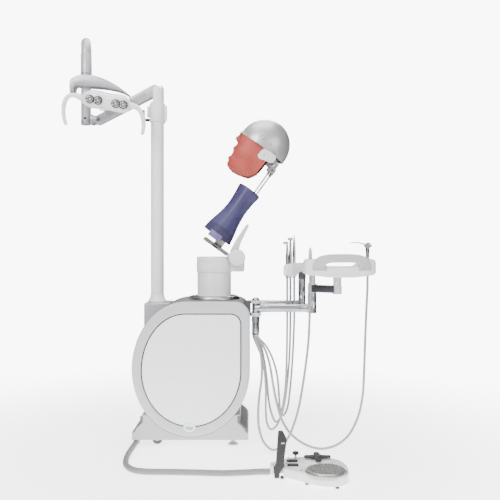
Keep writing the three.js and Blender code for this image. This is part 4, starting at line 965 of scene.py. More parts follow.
g = Geo()
arm_o = fillet([(-36, 0), (-41, 12), (-48, 60), (-50, 140), (-38, 140), (-24, 60), (-12, 28), (10, 20), (10, -10)], [1, 4, 8, 3, 3, 10, 10, 4, 2], 4)
g.prism(arm_o, -50, -28.6, "Y", 2.0)
g.box(-44, -26, -50, -28.6, -18, -7, 1, 0)
g.rod(0, 0, 0, "Y", -50, -28.6, 34, 1.5, 56, 0)
g.lathe([(0, -65), (30, -65), (33.5, -64), (35.2, -61.5), (35.5, -58), (35.5, -50.5), (34.6, -49), (0, -49)], 0, 0, 0, "Y", 64, 1)
piece("tilt_bracket", g, "torso", [K["cap"], K["column"]], ["tilt_arm"], M=MT, angle=40)
g = Geo()
g.box(-161.5, -41, -57.5, 57.5, -21.8, -7.2, 2.2, 0, axis="Y")
for x in (-145, -60):
    for y in (-42, 42):
        g.lathe([(0, -7.4), (4.6, -7.4), (4.6, -6.8), (2, -6.7), (0, -6.9)], x, y, 0, "Z", 20, 1)
g.box(-117, -90, -58.2, -57.2, -19.6, -12, 0.8, 2, axis="Y")
piece("seat_plate", g, "torso", [K["seat"], K["chrome"], K["black"]], ["tilt_arm"], M=MT, angle=40)

# torso skin: a waisted oval shell, a band of painted shade (darker violet) round its open foot where the shell curves
# under, and a lift tab
secs = [(22, 67, 95), (26, 67.3, 95.2), (60, 62.5, 92), (85, 56.5, 87), (110, 51, 82), (138, 46.4, 76.6), (166, 44, 74), (196, 44.6, 71.5), (225, 47, 71), (248, 50.6, 71.8), (262, 52.6, 72.8), (266, 52.6, 72.6)]
zz_ = [s_[0] for s_ in secs]


def sec_at(z, d=0.0):
    a = float(np.interp(z, zz_, [s_[1] for s_ in secs])) - d
    b = float(np.interp(z, zz_, [s_[2] for s_ in secs])) - d
    return a, b


def oval(z, d=0.0, n=88, cx=-125.3, sag=0.0):
    a, b = sec_at(z, d)
    out = []
    for i in range(n):
        t = 2 * math.pi * i / n
        w = 0.35 * math.sin(3 * t + z * 0.05) + 0.25 * math.sin(5 * t - z * 0.03)
        out.append((cx + (a + w * 0.5) * math.cos(t), (b + w * 0.5) * math.sin(t), z))
    return out


g = Geo()
zs = [22.6, 24, 27] + list(np.linspace(32, 252, 42)) + [257, 261, 263.8, 265.2, 266]
ds = [1.2, 0.3, 0] + [0] * 42 + [0.2, 0.8, 1.8, 3.4, 6.0]
g.rings([oval(z, d) for z, d in zip(zs, ds)] + [oval(266.0, 22), oval(265.2, 24), oval(262.2, 24), oval(262, 7)] + [oval(z, 4) for z in np.linspace(258, 24, 24)] + [oval(22.8, 3)], 0, close=True)
g.rings([oval(262.2, 23.5), oval(265.6, 23.5)], 0)
piece("torso_skin", g, "torso", [K["violet"], K["violet_d"], K["violet_l"]], ["torso_cover"], M=MT, angle=70)
to = bpy.data.objects["torso_skin"]
MTi = MT.inverted()
# faces below a wavy line near the open foot take the darker violet: painted shade
for p_ in to.data.polygons:
    q = MTi @ p_.center
    edge = 62 + 10 * math.cos((q.x + 125) / 60 * 1.2)
    if q.z < edge - 6 * abs(q.x + 125) / 60:
        p_.material_index = 1
g = Geo()
tabp = []
for i in range(15):
    t = math.pi * (1.35 + 0.28 * i / 14)
    a, b = sec_at(30)
    tabp.append((-125.3 + (a + 0.6) * math.cos(t), (b + 0.6) * math.sin(t)))
inner_ = [(x * 0.985 - 125.3 * 0.015, y * 0.965) for x, y in reversed(tabp)]
g.prism([(x, y) for x, y in tabp] + inner_, 8, 36, "Z", 0.6, mi=2)
# the narrow strip built here takes the same painted-shade violet (index 1)
t2 = []
for i in range(9):
    t = math.pi * (1.64 + 0.08 * i / 8)
    a, b = sec_at(30)
    t2.append((-125.3 + (a + 0.5) * math.cos(t), (b + 0.5) * math.sin(t)))
g.prism(t2 + [(x * 0.985 - 125.3 * 0.015, y * 0.965) for x, y in reversed(t2)], 23, 33, "Z", 0.5, mi=1)
piece("torso_tab", g, "torso", [K["violet"], K["violet_d"], K["violet_l"]], ["torso_cover"], M=MT, angle=50)

g = Geo()
g.box(-117, -79, -22, 22, -6.6, 95, 3, 0)
for x, y in ((-104, -12), (-92, 12)):
    g.lathe([(4.9, 94), (7.5, 94), (7.5, 97), (6.8, 98), (4.9, 98)] , x, y, 0, "Z", 28, 1)
piece("socket_block", g, "torso", [K["steelx"], K["chrome"]], ["neck_socket"], M=MT, angle=40)
g = Geo()
for x, y in ((-104, -12), (-92, 12)):
    g.rod(x, y, 0, "Z", 10, 392, 4, 0.6, 28, 0)
    g.rod(x, y, 0, "Z", 362, 377, 6.2, 0.8, 28, 1)
g.box(-120, -84, -19, 19, 376, 400, 2.5, 1)
g.rod(-107, 0, 404, "Y", -19, 19, 12, 1.2, 36, 1)
g.rod(-97, 0, 388, "Y", -22, 22, 3.4, 0.5, 20, 2)
piece("neck_frame", g, "neck", [K["chrome"], K["steelx"], K["black"]], ["neck_rods"], M=MT, angle=40)

# --------------------------------------------------------------- phantom head
g = Geo()


def dome(k, n=72, m=40):
    """Rings of the skull shell from its rim to the crown, k smaller all round."""
    rings = []
    for j in range(m + 1):
        q = math.pi / 2 * j / m
        z = 437.3 + (569 - k - 437.3) * math.sin(q)
        ring = []
        for i in range(n):
            t = 2 * math.pi * i / n
            dx, dy = math.cos(t), math.sin(t)
            v1 = 1 - ((z - 452) / (117 - k)) ** 2
            r = 0.0
            if v1 > 0:
                a, b = (110 - k) * math.sqrt(v1), (84 - k) * math.sqrt(v1)
                r = 1 / math.sqrt((dx / a) ** 2 + (dy / b) ** 2)
            v2 = 1 - ((z - 438) / (40 - k)) ** 2
            if v2 > 0:
                a, b = (54 - k) * math.sqrt(v2), (60 - k) * math.sqrt(v2)
                ox = -62.0
                A = (dx / a) ** 2 + (dy / b) ** 2
                B = -2 * ox * dx / a ** 2
                C = (ox / a) ** 2 - 1
                D = B * B - 4 * A * C
                if D > 0:
                    s2 = (-B + math.sqrt(D)) / (2 * A)
                    if s2 > r:
                        r = r + (s2 - r) * min(1.0, (s2 - r) / 6.0) if r > 0 else s2
            ring.append((-188 + max(r, 0.05) * dx, max(r, 0.05) * dy, z))
        rings.append(ring)
    return rings


outr, inr = dome(0), dome(4.5)
hollow = [[(x, y, z) for x, y, z in r] for r in reversed(inr)]
rim = [(x * 0.995 - 188 * 0.005, y * 0.995, z - 0.1) for x, y, z in outr[0]]
g.rings([rim] + outr, 0, cap0=False, cap1=True)
g.rings([outr[0]] + [inr[0]], 0, cap0=False, cap1=False)
g.rings(hollow, 0, cap0=True, cap1=False)
piece("skull_shell", g, "head", [K["helmet"]], ["skull_helmet"], M=MT, angle=50, weld=0.00002)
g = Geo()
band = []
for z, k in ((437.5, -0.5), (438.5, -1.2), (476, -1.2), (478.5, 0.4)):
    pass


def side_point(x, z, sgn, lift):
    v = max(0.02, 1 - ((x + 188) / 110) ** 2 - ((z - 452) / 117) ** 2)
    return (x, sgn * (84 * math.sqrt(v) + lift), z)


for sgn in (-1, 1):
    outl = fillet([(-218, 438), (-120, 438), (-112, 446), (-116, 462), (-140, 470), (-170, 484), (-206, 488), (-220, 478)], 7, 4)
    lo_, hi_ = [side_point(x, z, sgn, -1.0) for x, z in outl], [side_point(x, z, sgn, 1.1) for x, z in outl]
    mid_ = [side_point(x, z, sgn, 1.6) for x, z in inset(outl if area2(outl) > 0 else list(reversed(outl)), 1.2)]
    if area2(outl) < 0:
        lo_.reverse(), hi_.reverse()
    g.rings([lo_, hi_, mid_], 0, cap0=False)
    for x, z in ((-202, 467), (-164, 465)):
        px, py, pz = side_point(x, z, sgn, 0)
        nx, ny, nz = (px + 188) / 110 ** 2, py / 84 ** 2, (pz - 452) / 117 ** 2
        rot = Vector((0, 0, 1)).rotation_difference(Vector((nx, ny, nz))).to_matrix().to_4x4()
        g.lathe([(0, -1), (4.6, -1), (4.6, 2.0), (3.8, 2.8), (2.2, 3.0), (2.0, 1.9), (0, 1.9)], 0, 0, 0, "Z", 24, 1, Matrix.Translation((px, py, pz)) @ rot)
piece("skull_plates", g, "head", [K["helmet"], K["steelx"]], ["skull_helmet"], M=MT, angle=40)

g = Geo()
g.prism([(-188 + 92 * math.cos(2 * math.pi * i / 60), 66 * math.sin(2 * math.pi * i / 60)) for i in range(60)], 428, 436.7, "Z", 1.2)
for sg in (-1, 1):
    y0, y1 = sorted((sg * 40, sg * 78.5))
    g.box(-137, -114, y0, y1, 430, 436.7, 1.2, 0)
    y0, y1 = sorted((sg * 75.6, sg * 79.4))
    g.prism(fillet([(-181, 396), (-168, 389), (-140, 398), (-120, 401), (-110, 410), (-111, 430), (-118, 437.3), (-150, 440), (-176, 436.7), (-181, 420)], [5, 6, 8, 8, 5, 6, 5, 6, 8, 10], 4), y0, y1, "Y", 0.9, mi=1)
    g.rod(-160, 0, 412, "Y", *sorted((sg * 79, sg * 81.4)), 4.4, 0.6, 24, 2)
    g.rod(-124, 0, 424, "Y", *sorted((sg * 79, sg * 80.6)), 2.6, 0.4, 20, 2)
    y0, y1 = sorted((sg * 19.6, sg * 26))
    g.box(-127, -89, y0, y1, 392, 430, 2, 0)
    g.rod(-107, 0, 404, "Y", *sorted((sg * 25, sg * 30)), 7, 0.8, 28, 2)
g.box(-172, -158, -20, 20, 396, 430, 1.5, 0)
g.rod(-165, 0, 400, "Y", -25.4, 25.4, 4, 0.6, 24, 2)
piece("skull_frame", g, "head", [K["steelx"], K["plate"], K["chrome"]], ["skull_base"], M=MT, angle=40)


# ---------------------------------------------------- soft mask and the jaws
ZP = [284.6, 286, 289, 295, 302, 310, 318, 326, 336, 350, 364, 374, 382, 390, 398, 404, 414, 426, 437, 450]
XP = [-238, -247, -257, -266, -271.5, -273, -278, -281, -279.5, -281, -285, -288.5, -287.5, -285.5, -286.5, -288, -290, -293, -295.5, -297]
WZ = [284.6, 290, 306, 323, 341, 360, 380, 400, 450]
WV = [26, 38, 52.5, 60, 66, 70.5, 73.2, 74, 74]
BZ = [284.6, 287, 291, 297, 304, 320, 340, 360, 380, 450]
BX = [-232, -214, -199, -180, -163, -152, -143, -140, -139, -139]
IZ = [289.5, 292, 296, 308, 341, 352, 372, 460]
IX = [-235, -217, -202, -167, -148, -141, -130, -122]
EX = 0.84


def xc_of(z):
    return float(np.interp(z, [284, 300, 340, 450], [-226, -214, -200, -200]))


def face_x(y, z, k=0.0):
    xf, w, xc = float(np.interp(z, ZP, XP)) + k, float(np.interp(z, WZ, WV)) - k, xc_of(z)
    v = max(0.0, 1 - min(1.0, abs(y) / w) ** (2 / EX))
    return xc - (xc - xf) * v ** (EX / 2)


def nose_at(y, z):
    n1 = float(np.interp(z, [398, 402, 406, 411, 416, 424, 432, 440], [0, 6, 14, 18.5, 16.5, 11.5, 7.5, 5]))
    wid = float(np.interp(z, [398, 406, 414, 426, 440], [9, 8.6, 7.2, 6.0, 7.0]))
    wing = 5.5 * math.exp(-((abs(y) - 10.5) / 4.2) ** 2 - ((z - 405.5) / 5.0) ** 2)
    return n1 * math.exp(-(y / wid) ** 2) + wing


def face_ring(z, k=0.0, inner=False, nf=72, ns=12, nb=14):
    xf, w, xc = float(np.interp(z, ZP, XP)) + k, float(np.interp(z, WZ, WV)) - k, xc_of(z)
    xb = float(np.interp(z, IZ, IX)) if inner else float(np.interp(z, BZ, BX))
    xc = min(xc, xb - 4)
    pts = []
    for i in range(nf + 1):
        t = math.pi / 2 * (-1 + 2 * i / nf)
        c, s = math.cos(t), math.sin(t)
        y = w * math.copysign(abs(s) ** EX, s)
        x = xc - (xc - xf) * max(0, c) ** EX
        cheek = 1.6 * math.exp(-((abs(y) - 44) / 15) ** 2 - ((z - 398) / 20) ** 2)
        chin = 2.5 * math.exp(-(y / 15) ** 2 - ((z - 301) / 9) ** 2)
        fold = -1.3 * math.exp(-((abs(y) - 30 - (398 - z) * 0.22) / 3.2) ** 2 - ((z - 384) / 15) ** 2)
        d = cheek + chin + fold
        if not inner:
            d += nose_at(y, z)
        pts.append((x - d, y, z))
    for i in range(1, ns):
        pts.append((xc + (xb - xc) * i / ns, w - 0.0 * i, z))
    for i in range(nb + 1):
        u = -1 + 2 * i / nb
        yy = -w * u
        pts.append((xb - (2.0 * (1 - u * u) if not inner else 0), yy, z))
    for i in range(ns - 1, 0, -1):
        pts.append((xc + (xb - xc) * i / ns, -w, z))
    return pts


g = Geo()
zz1 = [284.6, 285.2, 286.4, 288, 290.5] + list(np.linspace(293, 434, 66)) + [436, 436.8]
g.rings([face_ring(z) for z in zz1], 0)
gi = Geo()
gi.rings([face_ring(z, 4.6, True) for z in [289.5, 290.5, 292, 294] + list(np.linspace(297, 436, 50)) + [450]], 0)
gm = Geo()
mo = []
for i in range(72):
    t = 2 * math.pi * i / 72
    c, s = math.cos(t), math.sin(t)
    mo.append((33.5 * math.copysign(abs(c) ** 0.85, c), 349 + (24.5 if s < 0 else 23.5) * math.copysign(abs(s) ** 0.9, s)))
gm.prism(mo, -330, -232, "X")
me = carve(g, MT, [gi, gm])
mk = piece("soft_mask", me, None, [K["skin"], K["skin_d"]], ["face_mask"], angle=48)
# faces that look in towards the mask's middle take the darker red: painted shade inside the hollow
cen = MT @ Vector((-205, 0, 365))
for p_ in mk.data.polygons:
    v = cen - p_.center
    q = MTi @ p_.center
    if p_.normal.dot(v.normalized()) > 0.25 and q.z < 436.5:
        p_.material_index = 1
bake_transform(mk)
g = Geo()
lp = []
for y, z in mo + [mo[0], mo[1]]:
    lp.append((face_x(y, z) + 1.6, y, z))
rads = [4.3 + (0.9 if (z > 362 and abs(y) < 20) else 0) * (1 - abs(y) / 20 if abs(y) < 20 else 0) + (1.0 if (z < 336 and abs(y) < 20) else 0) * (1 - abs(y) / 20 if abs(y) < 20 else 0) for x, y, z in lp]
g.tube(lp[:-1], rads[:-1], 18, 0, up=(1, 0, 0))
lips = piece("mask_lips", g, None, [K["skin"]], ["face_mask"], M=MT, angle=90)
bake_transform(lips)


def tooth(g, x, y, ang, w, d, h, z0, up, kind, mi):
    """One crown: neck, belly and biting edge as lofted rounded squares."""
    levels = {
        "inc": [(0.0, 0.74, 0.95), (0.18, 0.86, 1.0), (0.5, 1.0, 0.78), (0.8, 1.02, 0.46), (0.97, 0.98, 0.27), (1.0, 0.9, 0.18)],
        "can": [(0.0, 0.76, 0.95), (0.2, 0.9, 1.05), (0.5, 1.0, 0.9), (0.75, 0.78, 0.62), (0.95, 0.36, 0.3), (1.04, 0.12, 0.1)],
        "mol": [(0.0, 0.84, 0.86), (0.2, 0.95, 0.97), (0.55, 1.02, 1.03), (0.85, 0.95, 0.93), (1.0, 0.78, 0.74), (0.93, 0.45, 0.4), (0.84, 0.1, 0.1)],
    }[kind]
    rings = []
    ca, sa = math.cos(ang), math.sin(ang)
    for f, sw, sd in levels:
        ring = []
        for i in range(20):
            t = 2 * math.pi * i / 20
            c, s = math.cos(t), math.sin(t)
            a = math.copysign(abs(c) ** 0.7, c) * w / 2 * sw
            b = math.copysign(abs(s) ** 0.7, s) * d / 2 * sd
            cusp = 0.6 * math.cos(2 * t) ** 2 * (1 if kind == "mol" and f > 0.9 else 0)
            z = z0 + up * (h * f + cusp)
            ring.append((x + a * ca - b * sa, y + a * sa + b * ca, z))
        rings.append(ring)
    g.rings(rings, mi)


def arch_teeth(g, front, back, half, z0, up, scale, mi):
    a, b = back - front - 5, half - 4.6
    pts = [(back - a * math.cos(t), b * math.sin(t)) for t in np.linspace(-math.pi / 2, math.pi / 2, 721)]
    s = np.concatenate([[0], np.cumsum([math.dist(p, q) for p, q in zip(pts, pts[1:])])])
    mid = s[-1] / 2
    widths = [(8.4, 6.6, 9.6, "inc"), (6.8, 6.2, 9.0, "inc"), (7.6, 7.6, 9.8, "can"), (6.9, 8.4, 8.2, "mol"), (6.8, 8.6, 7.8, "mol"), (9.8, 10.0, 7.4, "mol"), (9.2, 9.8, 7.0, "mol")]
    total = sum(w[0] for w in widths)
    k = (mid - 0.5) / total
    for sgn in (-1, 1):
        u = 0.0
        for w, d, h, kind in widths:
            c = mid + sgn * (u + w * k / 2)
            x, y = np.interp(c, s, [p[0] for p in pts]), np.interp(c, s, [p[1] for p in pts])
            x2, y2 = np.interp(c + 0.5, s, [p[0] for p in pts]), np.interp(c + 0.5, s, [p[1] for p in pts])
            tooth(g, float(x), float(y), math.atan2(y2 - y, x2 - x), w * k * 0.985, d * scale, h, z0, up, kind, mi)
            u += w * k


def arch_band(g, front, back, half, w, z0, z1, mi, r=3.0):
    o = arc(back, 0, back - front, half, 90, 270, 44)
    i = arc(back, 0, back - front - w, half - w, 270, 90, 44)
    g.prism(o + i, z0, z1, "Z", r, 4, mi)


g = Geo()
arch_band(g, -267.6, -216, 30.8, 12, 375.5, 404, 0, 2.6)
arch_teeth(g, -267.6, -216, 30.8, 377, -1, 1.0, 1)
g.prism([(-216 - 42 * math.cos(t), 23 * math.sin(t)) for t in np.linspace(-math.pi / 2, math.pi / 2, 40)], 392, 403, "Z", 2, 3, 0)
g.box(-256, -196, -26, 26, 398, 427.6, 3, 2)
piece("upper_typodont", g, "head", [K["gum"], K["tooth"], K["steelx"]], ["upper_jaw"], M=MT, angle=50)
g = Geo()
arch_band(g, -250, -202, 29, 12, 300, 321.5, 0, 2.6)
arch_teeth(g, -250, -202, 29, 320.5, 1, 0.95, 1)
for sgn in (-1, 1):
    y0, y1 = sorted((sgn * 25.8, sgn * 30.9))
    g.prism(fillet([(-214, 306), (-188, 310), (-158, 392), (-158, 408), (-172, 408), (-176, 392), (-192, 324), (-214, 324)], [3, 5, 5, 5, 5, 5, 6, 4], 4), y0, y1, "Y", 1.0, mi=2)
    g.rod(-165, 0, 400, "Y", *sorted((sgn * 25.0, sgn * 33.0)), 6.2, 0.8, 28, 3)
g.box(-208, -192, -30, 30, 307, 315, 1.6, 2)
piece("lower_typodont", g, "jaw", [K["gum"], K["tooth"], K["steelx"], K["chrome"]], ["lower_jaw"], M=MT, angle=50)


# -------------------------------------------------------------- delivery unit
g = Geo()
g.box(-24, 3, 22.5, 57.5, 524.5, 587.5, 2, 0)
c1 = Geo()
c1.prism(cab(0.3), 0, 400, "Y")
bk = carve(g, M0, [c1])
piece("bracket_block", bk, "root", [K["joint"]], ["arm_bracket"], angle=40)
g = Geo()
hole = [(23 + 15.5 * math.cos(2 * math.pi * i / 48), 40 + 15.5 * math.sin(2 * math.pi * i / 48)) for i in range(48)]
for z0, z1 in ((576.5, 588), (524, 537.5)):
    outc = []
    for i in range(48):
        t = 2 * math.pi * i / 48
        c, s = math.cos(t), math.sin(t)
        r = 22.0
        x, y = 23 + r * c, 40 + r * s
        if c < -0.2:
            x = max(0.4, 23 + 24 * c * 1.0)
            y = 40 + 18.5 * s
        outc.append((x, y))
    g.rings([[(x, y, z) for x, y in p] for p, z in ((hole, z0 + 0.5), (inset(outc, 1.2), z0), (outc, z0 + 1.2), (outc, z1 - 1.2), (inset(outc, 1.2), z1), (hole, z1 - 0.5))], 0, close=True)
    for dy in (-13.5, 13.5):
        g.rod(7, 40 + dy, 0, "Z", z1 - 1, z1 + 2.2, 2.6, 0.5, 16, 1)
piece("bracket_rings", g, "root", [K["cap"], K["chrome"]], ["arm_bracket"], angle=40)

g = Geo()
g.lathe([(0, 453.5), (12.6, 453.5), (14.6, 454.4), (15, 456), (15, 536), (14.7, 537), (14.7, 539), (15, 540), (15, 590), (14.6, 593), (12, 597.2), (7, 600), (0, 600.9)], 23, 40, 0, "Z", 56, 0)
g.lathe([(15, 500), (16.2, 500.6), (16.2, 521), (15, 522)], 23, 40, 0, "Z", 56, 3)
for px, py in ((30.7, 34.4), (20, 31), (13.5, 40), (20, 49), (30.7, 45.6)):
    g.lathe([(0, 449.2), (5.6, 449.2), (6.0, 450), (6.0, 455), (0, 455)], px, py, 0, "Z", 24, 2)
g.rod(0, 40, 557, "X", 20, 252, 17, 1.0, 64, 1)
g.rod(0, 40, 557, "X", 36, 54, 18.4, 1.2, 64, 0)
g.rod(0, 40, 557, "X", 228, 240, 18.0, 1.2, 64, 0)
g.lathe([(0, 535.8), (16, 535.8), (17.3, 536.8), (17.6, 538.5), (17.6, 573), (17.1, 574), (17.1, 575.6), (17.6, 576.6), (17.6, 615.5), (16.8, 617.4), (0, 617.4)], 252, 40, 0, "Z", 60, 3)
g.box(46, 72, 45, 140, 562, 574, 2, 0)
g.rod(0, 140, 569, "X", 34, 218, 13, 1.0, 56, 1)
g.lathe([(0, 554), (13.6, 554), (14.9, 555), (15, 556.4), (15, 600), (14.4, 601), (14.4, 602.4), (15, 603.4), (15, 668.6), (14.2, 669.6), (0, 669.6)], 218, 140, 0, "Z", 52, 3)
piece("arm_tubes", g, "delivery", [K["alu_z"], K["alu_x"], K["black"], K["steel"]], ["delivery_arm"], angle=40)

g = Geo()
g.lathe([(0, 618.2), (17, 618.2), (18, 619.2), (18, 654.8), (17, 656), (13.4, 656), (13.4, 658), (12.9, 659), (12.9, 690), (0, 690)], 252, 40, 0, "Z", 56, 0)
g.lathe([(0, 618.2), (17, 618.2), (18, 619.2), (18, 650.8), (17, 652), (0, 652)], 344, -40, 0, "Z", 56, 0)
g.prism(fillet([(240.2, 26.4), (332.2, -53.6), (355.8, -26.4), (263.8, 53.6)], 3, 4), 622, 651.5, "Z", 3.0, 4, 1)
g.prism(fillet([(262, 13), (322, -39), (326, -34.5), (266, 17.5)], 2, 3), 651, 652, "Z", 0.4, 2, 2)
piece("link_cast", g, "link", [K["cap"], K["joint"], K["alu_x"]], ["link_arm"], angle=40)

# instrument rack
so = spline([(134, 690), (134, 706), (135, 720), (142, 729), (152, 734), (176, 738), (210, 738.4), (240, 737)], 6)
side = [(134.5, 688)] + so[1:] + fillet([(242, 733), (242, 704), (210, 703), (198, 697), (190, 683), (186, 682), (142, 682)], [3, 3, 8, 8, 3, 2, 4], 4)
plan = fillet([(136, 56), (152, 50), (172, 58), (204, 88), (240, 120), (240, 158), (204, 162), (168, 138), (140, 92)], [5, 8, 10, 14, 8, 6, 12, 20, 14], 5)
cp = Geo()
cp.prism(plan, 670, 750, "Z")
gs = Geo()
gs.prism(side, 30, 180, "Y")
a_ = temp(gs, M0)


def apply_bool(o, cutter, op):
    b = temp(cutter, M0)
    mod = o.modifiers.new("b", "BOOLEAN")
    mod.operation, mod.object, mod.solver = op, b, "EXACT"
    me_ = bpy.data.meshes.new_from_object(o.evaluated_get(bpy.context.evaluated_depsgraph_get()))
    o.modifiers.clear()
    o.data = me_
    bpy.data.objects.remove(b)


apply_bool(a_, cp, "INTERSECT")
for x, y in ((152.5, 70), (167, 93), (184, 116)):
    c1 = Geo()
    c1.rod(x, y, 0, "Z", 660, 760, 9, 0.1, 32)
    apply_bool(a_, c1, "DIFFERENCE")
me = a_.data
bpy.data.objects.remove(a_)
piece("rack_shell", me, "rack", [K["tray"]], ["instrument_rack"], angle=32, bevel=0.0012)
g = Geo()
g.box(203, 234, 124, 156, 670.3, 705, 4, 0)
for x, y in ((152.5, 70), (167, 93), (184, 116)):
    rg = [[(x + r * math.cos(2 * math.pi * i / 32), y + r * math.sin(2 * math.pi * i / 32), z) for i in range(32)] for r, z in ((8.95, 684), (7.4, 684), (7.2, 726), (8.95, 726))]
    g.rings(rg, 1, close=True)
piece("rack_foot", g, "rack", [K["joint"], K["tray_g"]], ["instrument_rack"], angle=40)

# tray
side = spline([(207, 704), (207, 722), (209, 740), (215, 751), (226, 756.5), (245, 757.2), (262, 756.6), (274, 749), (286, 737), (296, 729.5), (306, 727)], 5)
side += spline([(401, 727), (411, 729.5), (421, 737), (432, 749), (444, 756.4), (458, 757.2), (472, 756.4), (482, 750), (486.6, 740), (487, 722), (486, 708)], 5)
side += spline([(482, 702), (472, 696.6), (440, 692), (405, 688), (352, 686.9), (300, 687.6), (266, 691.6), (232, 695.5), (214, 698)], 5)
plan = spline([(207, -64), (207.6, -96), (216, -118), (240, -131), (285, -139), (345, -142), (405, -140), (450, -133), (477, -119), (486.4, -96), (487, -64), (486, -34), (476, -12), (452, 1), (400, 11), (345, 15.5), (290, 12), (244, 3), (217, -12), (208, -34)], 5, closed=True)
gs = Geo()
gs.prism(side, -150, 30, "Y")
a_ = temp(gs, M0)
cp = Geo()
cp.prism(plan, 670, 780, "Z")
apply_bool(a_, cp, "INTERSECT")
for x in (236, 460):
    c1 = Geo()
    c1.rod(x, -60, 0, "Z", 660, 780, 9.5, 0.1, 36)
    apply_bool(a_, c1, "DIFFERENCE")
me = a_.data
bpy.data.objects.remove(a_)
piece("tray_shell", me, "tray", [K["tray"]], ["tray_body"], angle=32, bevel=0.0016)

# the raised grip bar across the front, one curved band with soft edges
go = spline([(238, 722), (240, 736), (246, 751), (256, 763), (272, 770.5), (300, 775.4), (350, 777), (400, 775.4), (428, 770.5), (444, 763), (454, 751), (460, 736), (462, 722)], 6)
gi_ = spline([(421, 722), (419, 731), (412, 738.5), (399, 742.6), (350, 744), (303, 742.6), (291, 738.5), (285, 731), (283, 722)], 6)

def yband(x):
    return float(np.interp(x, [200, 240, 290, 345, 400, 455, 490], [-117, -135, -148, -152.6, -148, -135, -117]))


ou_, in_ = resample(go, 72, False), resample(list(reversed(gi_)), 72, False)
rings = []
for (xo, zo), (xi, zi) in zip(ou_, in_):
    ll = math.hypot(xo - xi, zo - zi)
    wx, wz = (xo - xi) / ll, (zo - zi) / ll
    loop = [(2.6, -7.3), (ll * 0.33, -7.3), (ll * 0.66, -7.3), (ll - 2.6, -7.3), (ll - 1.0, -6.6), (ll - 0.2, -5.2), (ll, -3.5), (ll, 3.5), (ll - 0.2, 5.2), (ll - 1.0, 6.6), (ll - 2.6, 7.3),
            (ll * 0.66, 7.3), (ll * 0.33, 7.3), (2.6, 7.3), (1.0, 6.6), (0.2, 5.2), (0, 3.5), (0, -3.5), (0.2, -5.2), (1.0, -6.6)]
    rings.append([(xi + wx * t, yband(xi + wx * t) + off, zi + wz * t) for t, off in loop])
g = Geo()
g.rings(rings, 1)
g.prism(fillet([(284, -120), (420, -120), (420, -138), (383, -146), (345, -149.6), (307, -146), (284, -138)], 3, 4), 700.5, 722, "Z", 1.6, 4, 0)
g.prism(fillet([(238, -120), (291, -120), (291, -145), (262, -141), (238, -136)], 3, 4), 714, 730, "Z", 1.2, 3, 1)
g.prism(fillet([(413, -120), (462, -120), (462, -136), (440, -141), (413, -145)], 3, 4), 714, 730, "Z", 1.2, 3, 1)
piece("tray_grip_bar", g, "tray", [K["tray"], K["tray_g"]], ["tray_body"], angle=45)
g = Geo()
g.rod(344, -40, 0, "Z", 652.4, 690, 16, 1.2, 52, 0)
g.lathe([(0, 684), (21, 684), (23, 687), (24, 692), (0, 692)], 344, -40, 0, "Z", 52, 0)
g.prism([(x, y) for x, y in fillet([(308, -98), (398, -98), (398, -6), (308, -6)], 12, 6)], 726.4, 727.7, "Z", 0.3, 1, 1)
for x in (236, 460):
    rg = [[(x + r * math.cos(2 * math.pi * i / 36), -60 + r * math.sin(2 * math.pi * i / 36), z) for i in range(36)] for r, z in ((9.4, 700), (7.9, 700), (7.9, 756), (8.6, 757.8), (10.8, 758), (11.4, 757.4), (9.4, 757.0))]
    g.rings(rg, 2, close=True)
piece("tray_fittings", g, "tray", [K["cap"], K["tray_g"], K["black"]], ["tray_body"], angle=40)

# instruments
g = Geo()
grip_ = [(0, 690), (5.6, 690), (6, 691), (7.3, 699), (7.5, 702)]
for k in range(7):
    grip_ += [(7.5, 706 + 6 * k), (7.1, 707.2 + 6 * k), (7.1, 709.4 + 6 * k), (7.5, 710.6 + 6 * k)]
grip_ += [(7.5, 752), (6.8, 762), (6.6, 768), (7.4, 786), (8, 796), (8, 801.8), (0, 801.8)]
g.lathe(grip_, 460, -60, 0, "Z", 40, 0)
hd = fillet([(451, 801), (471, 801), (478, 811), (470, 819), (462, 822), (452, 818.5), (447, 809)], 3, 4)
g.prism(hd, -69.4, -50.6, "Y", 3, 4, 0)
for yy in (-66, -54):
    g.rod(0, yy, 0, "Z", 0, 1, 1, 0.2, 12, 0, M=Matrix.Translation((462, 0, 818)) @ Matrix.Scale(0.001, 4))
    g.lathe([(0, 816), (3.6, 816), (3.6, 821.2), (2.8, 822), (0, 822)], 462, yy, 0, "Z", 24, 1)
nz = spline([(452, -60, 811.5), (440, -60, 816.6), (424, -60, 820.6), (408, -60, 821.4), (393, -60, 819)], 8)
g.tube(nz, [3.0 - 1.3 * k / (len(nz) - 1) for k in range(len(nz))], 18, 0, cap="round")
g.lathe([(0, -1), (4.4, -1), (4.4, 5), (3.2, 6.5), (0, 6.5)], 0, 0, 0, "Z", 24, 0, M=Matrix.Translation((451.5, -60, 811.8)) @ Matrix.Rotation(-68 * D2R, 4, "Y"))
piece("three_way_syringe", g, "tray", [K["steelx"], K["black"]], ["syringe"], angle=40)
g = Geo()
g.lathe([(0, 690), (5.6, 690), (6, 691), (7.3, 700), (7.5, 706), (7.5, 736), (7.1, 737), (7.1, 740), (7.5, 741), (7.5, 766), (6.9, 784), (5.4, 794), (3.4, 799), (2.4, 801.5), (0, 801.5)], 236, -60, 0, "Z", 40, 0)
g.tube(spline([(236, -60, 800), (236, -60, 803), (236.6, -60, 804.4)], 4), [1.3, 1.1, 1.0] * 3, 12, 1, cap="round")
piece("scaler_body", g, "tray", [K["tray_g"], K["chrome"]], ["scaler_handpiece"], angle=40)


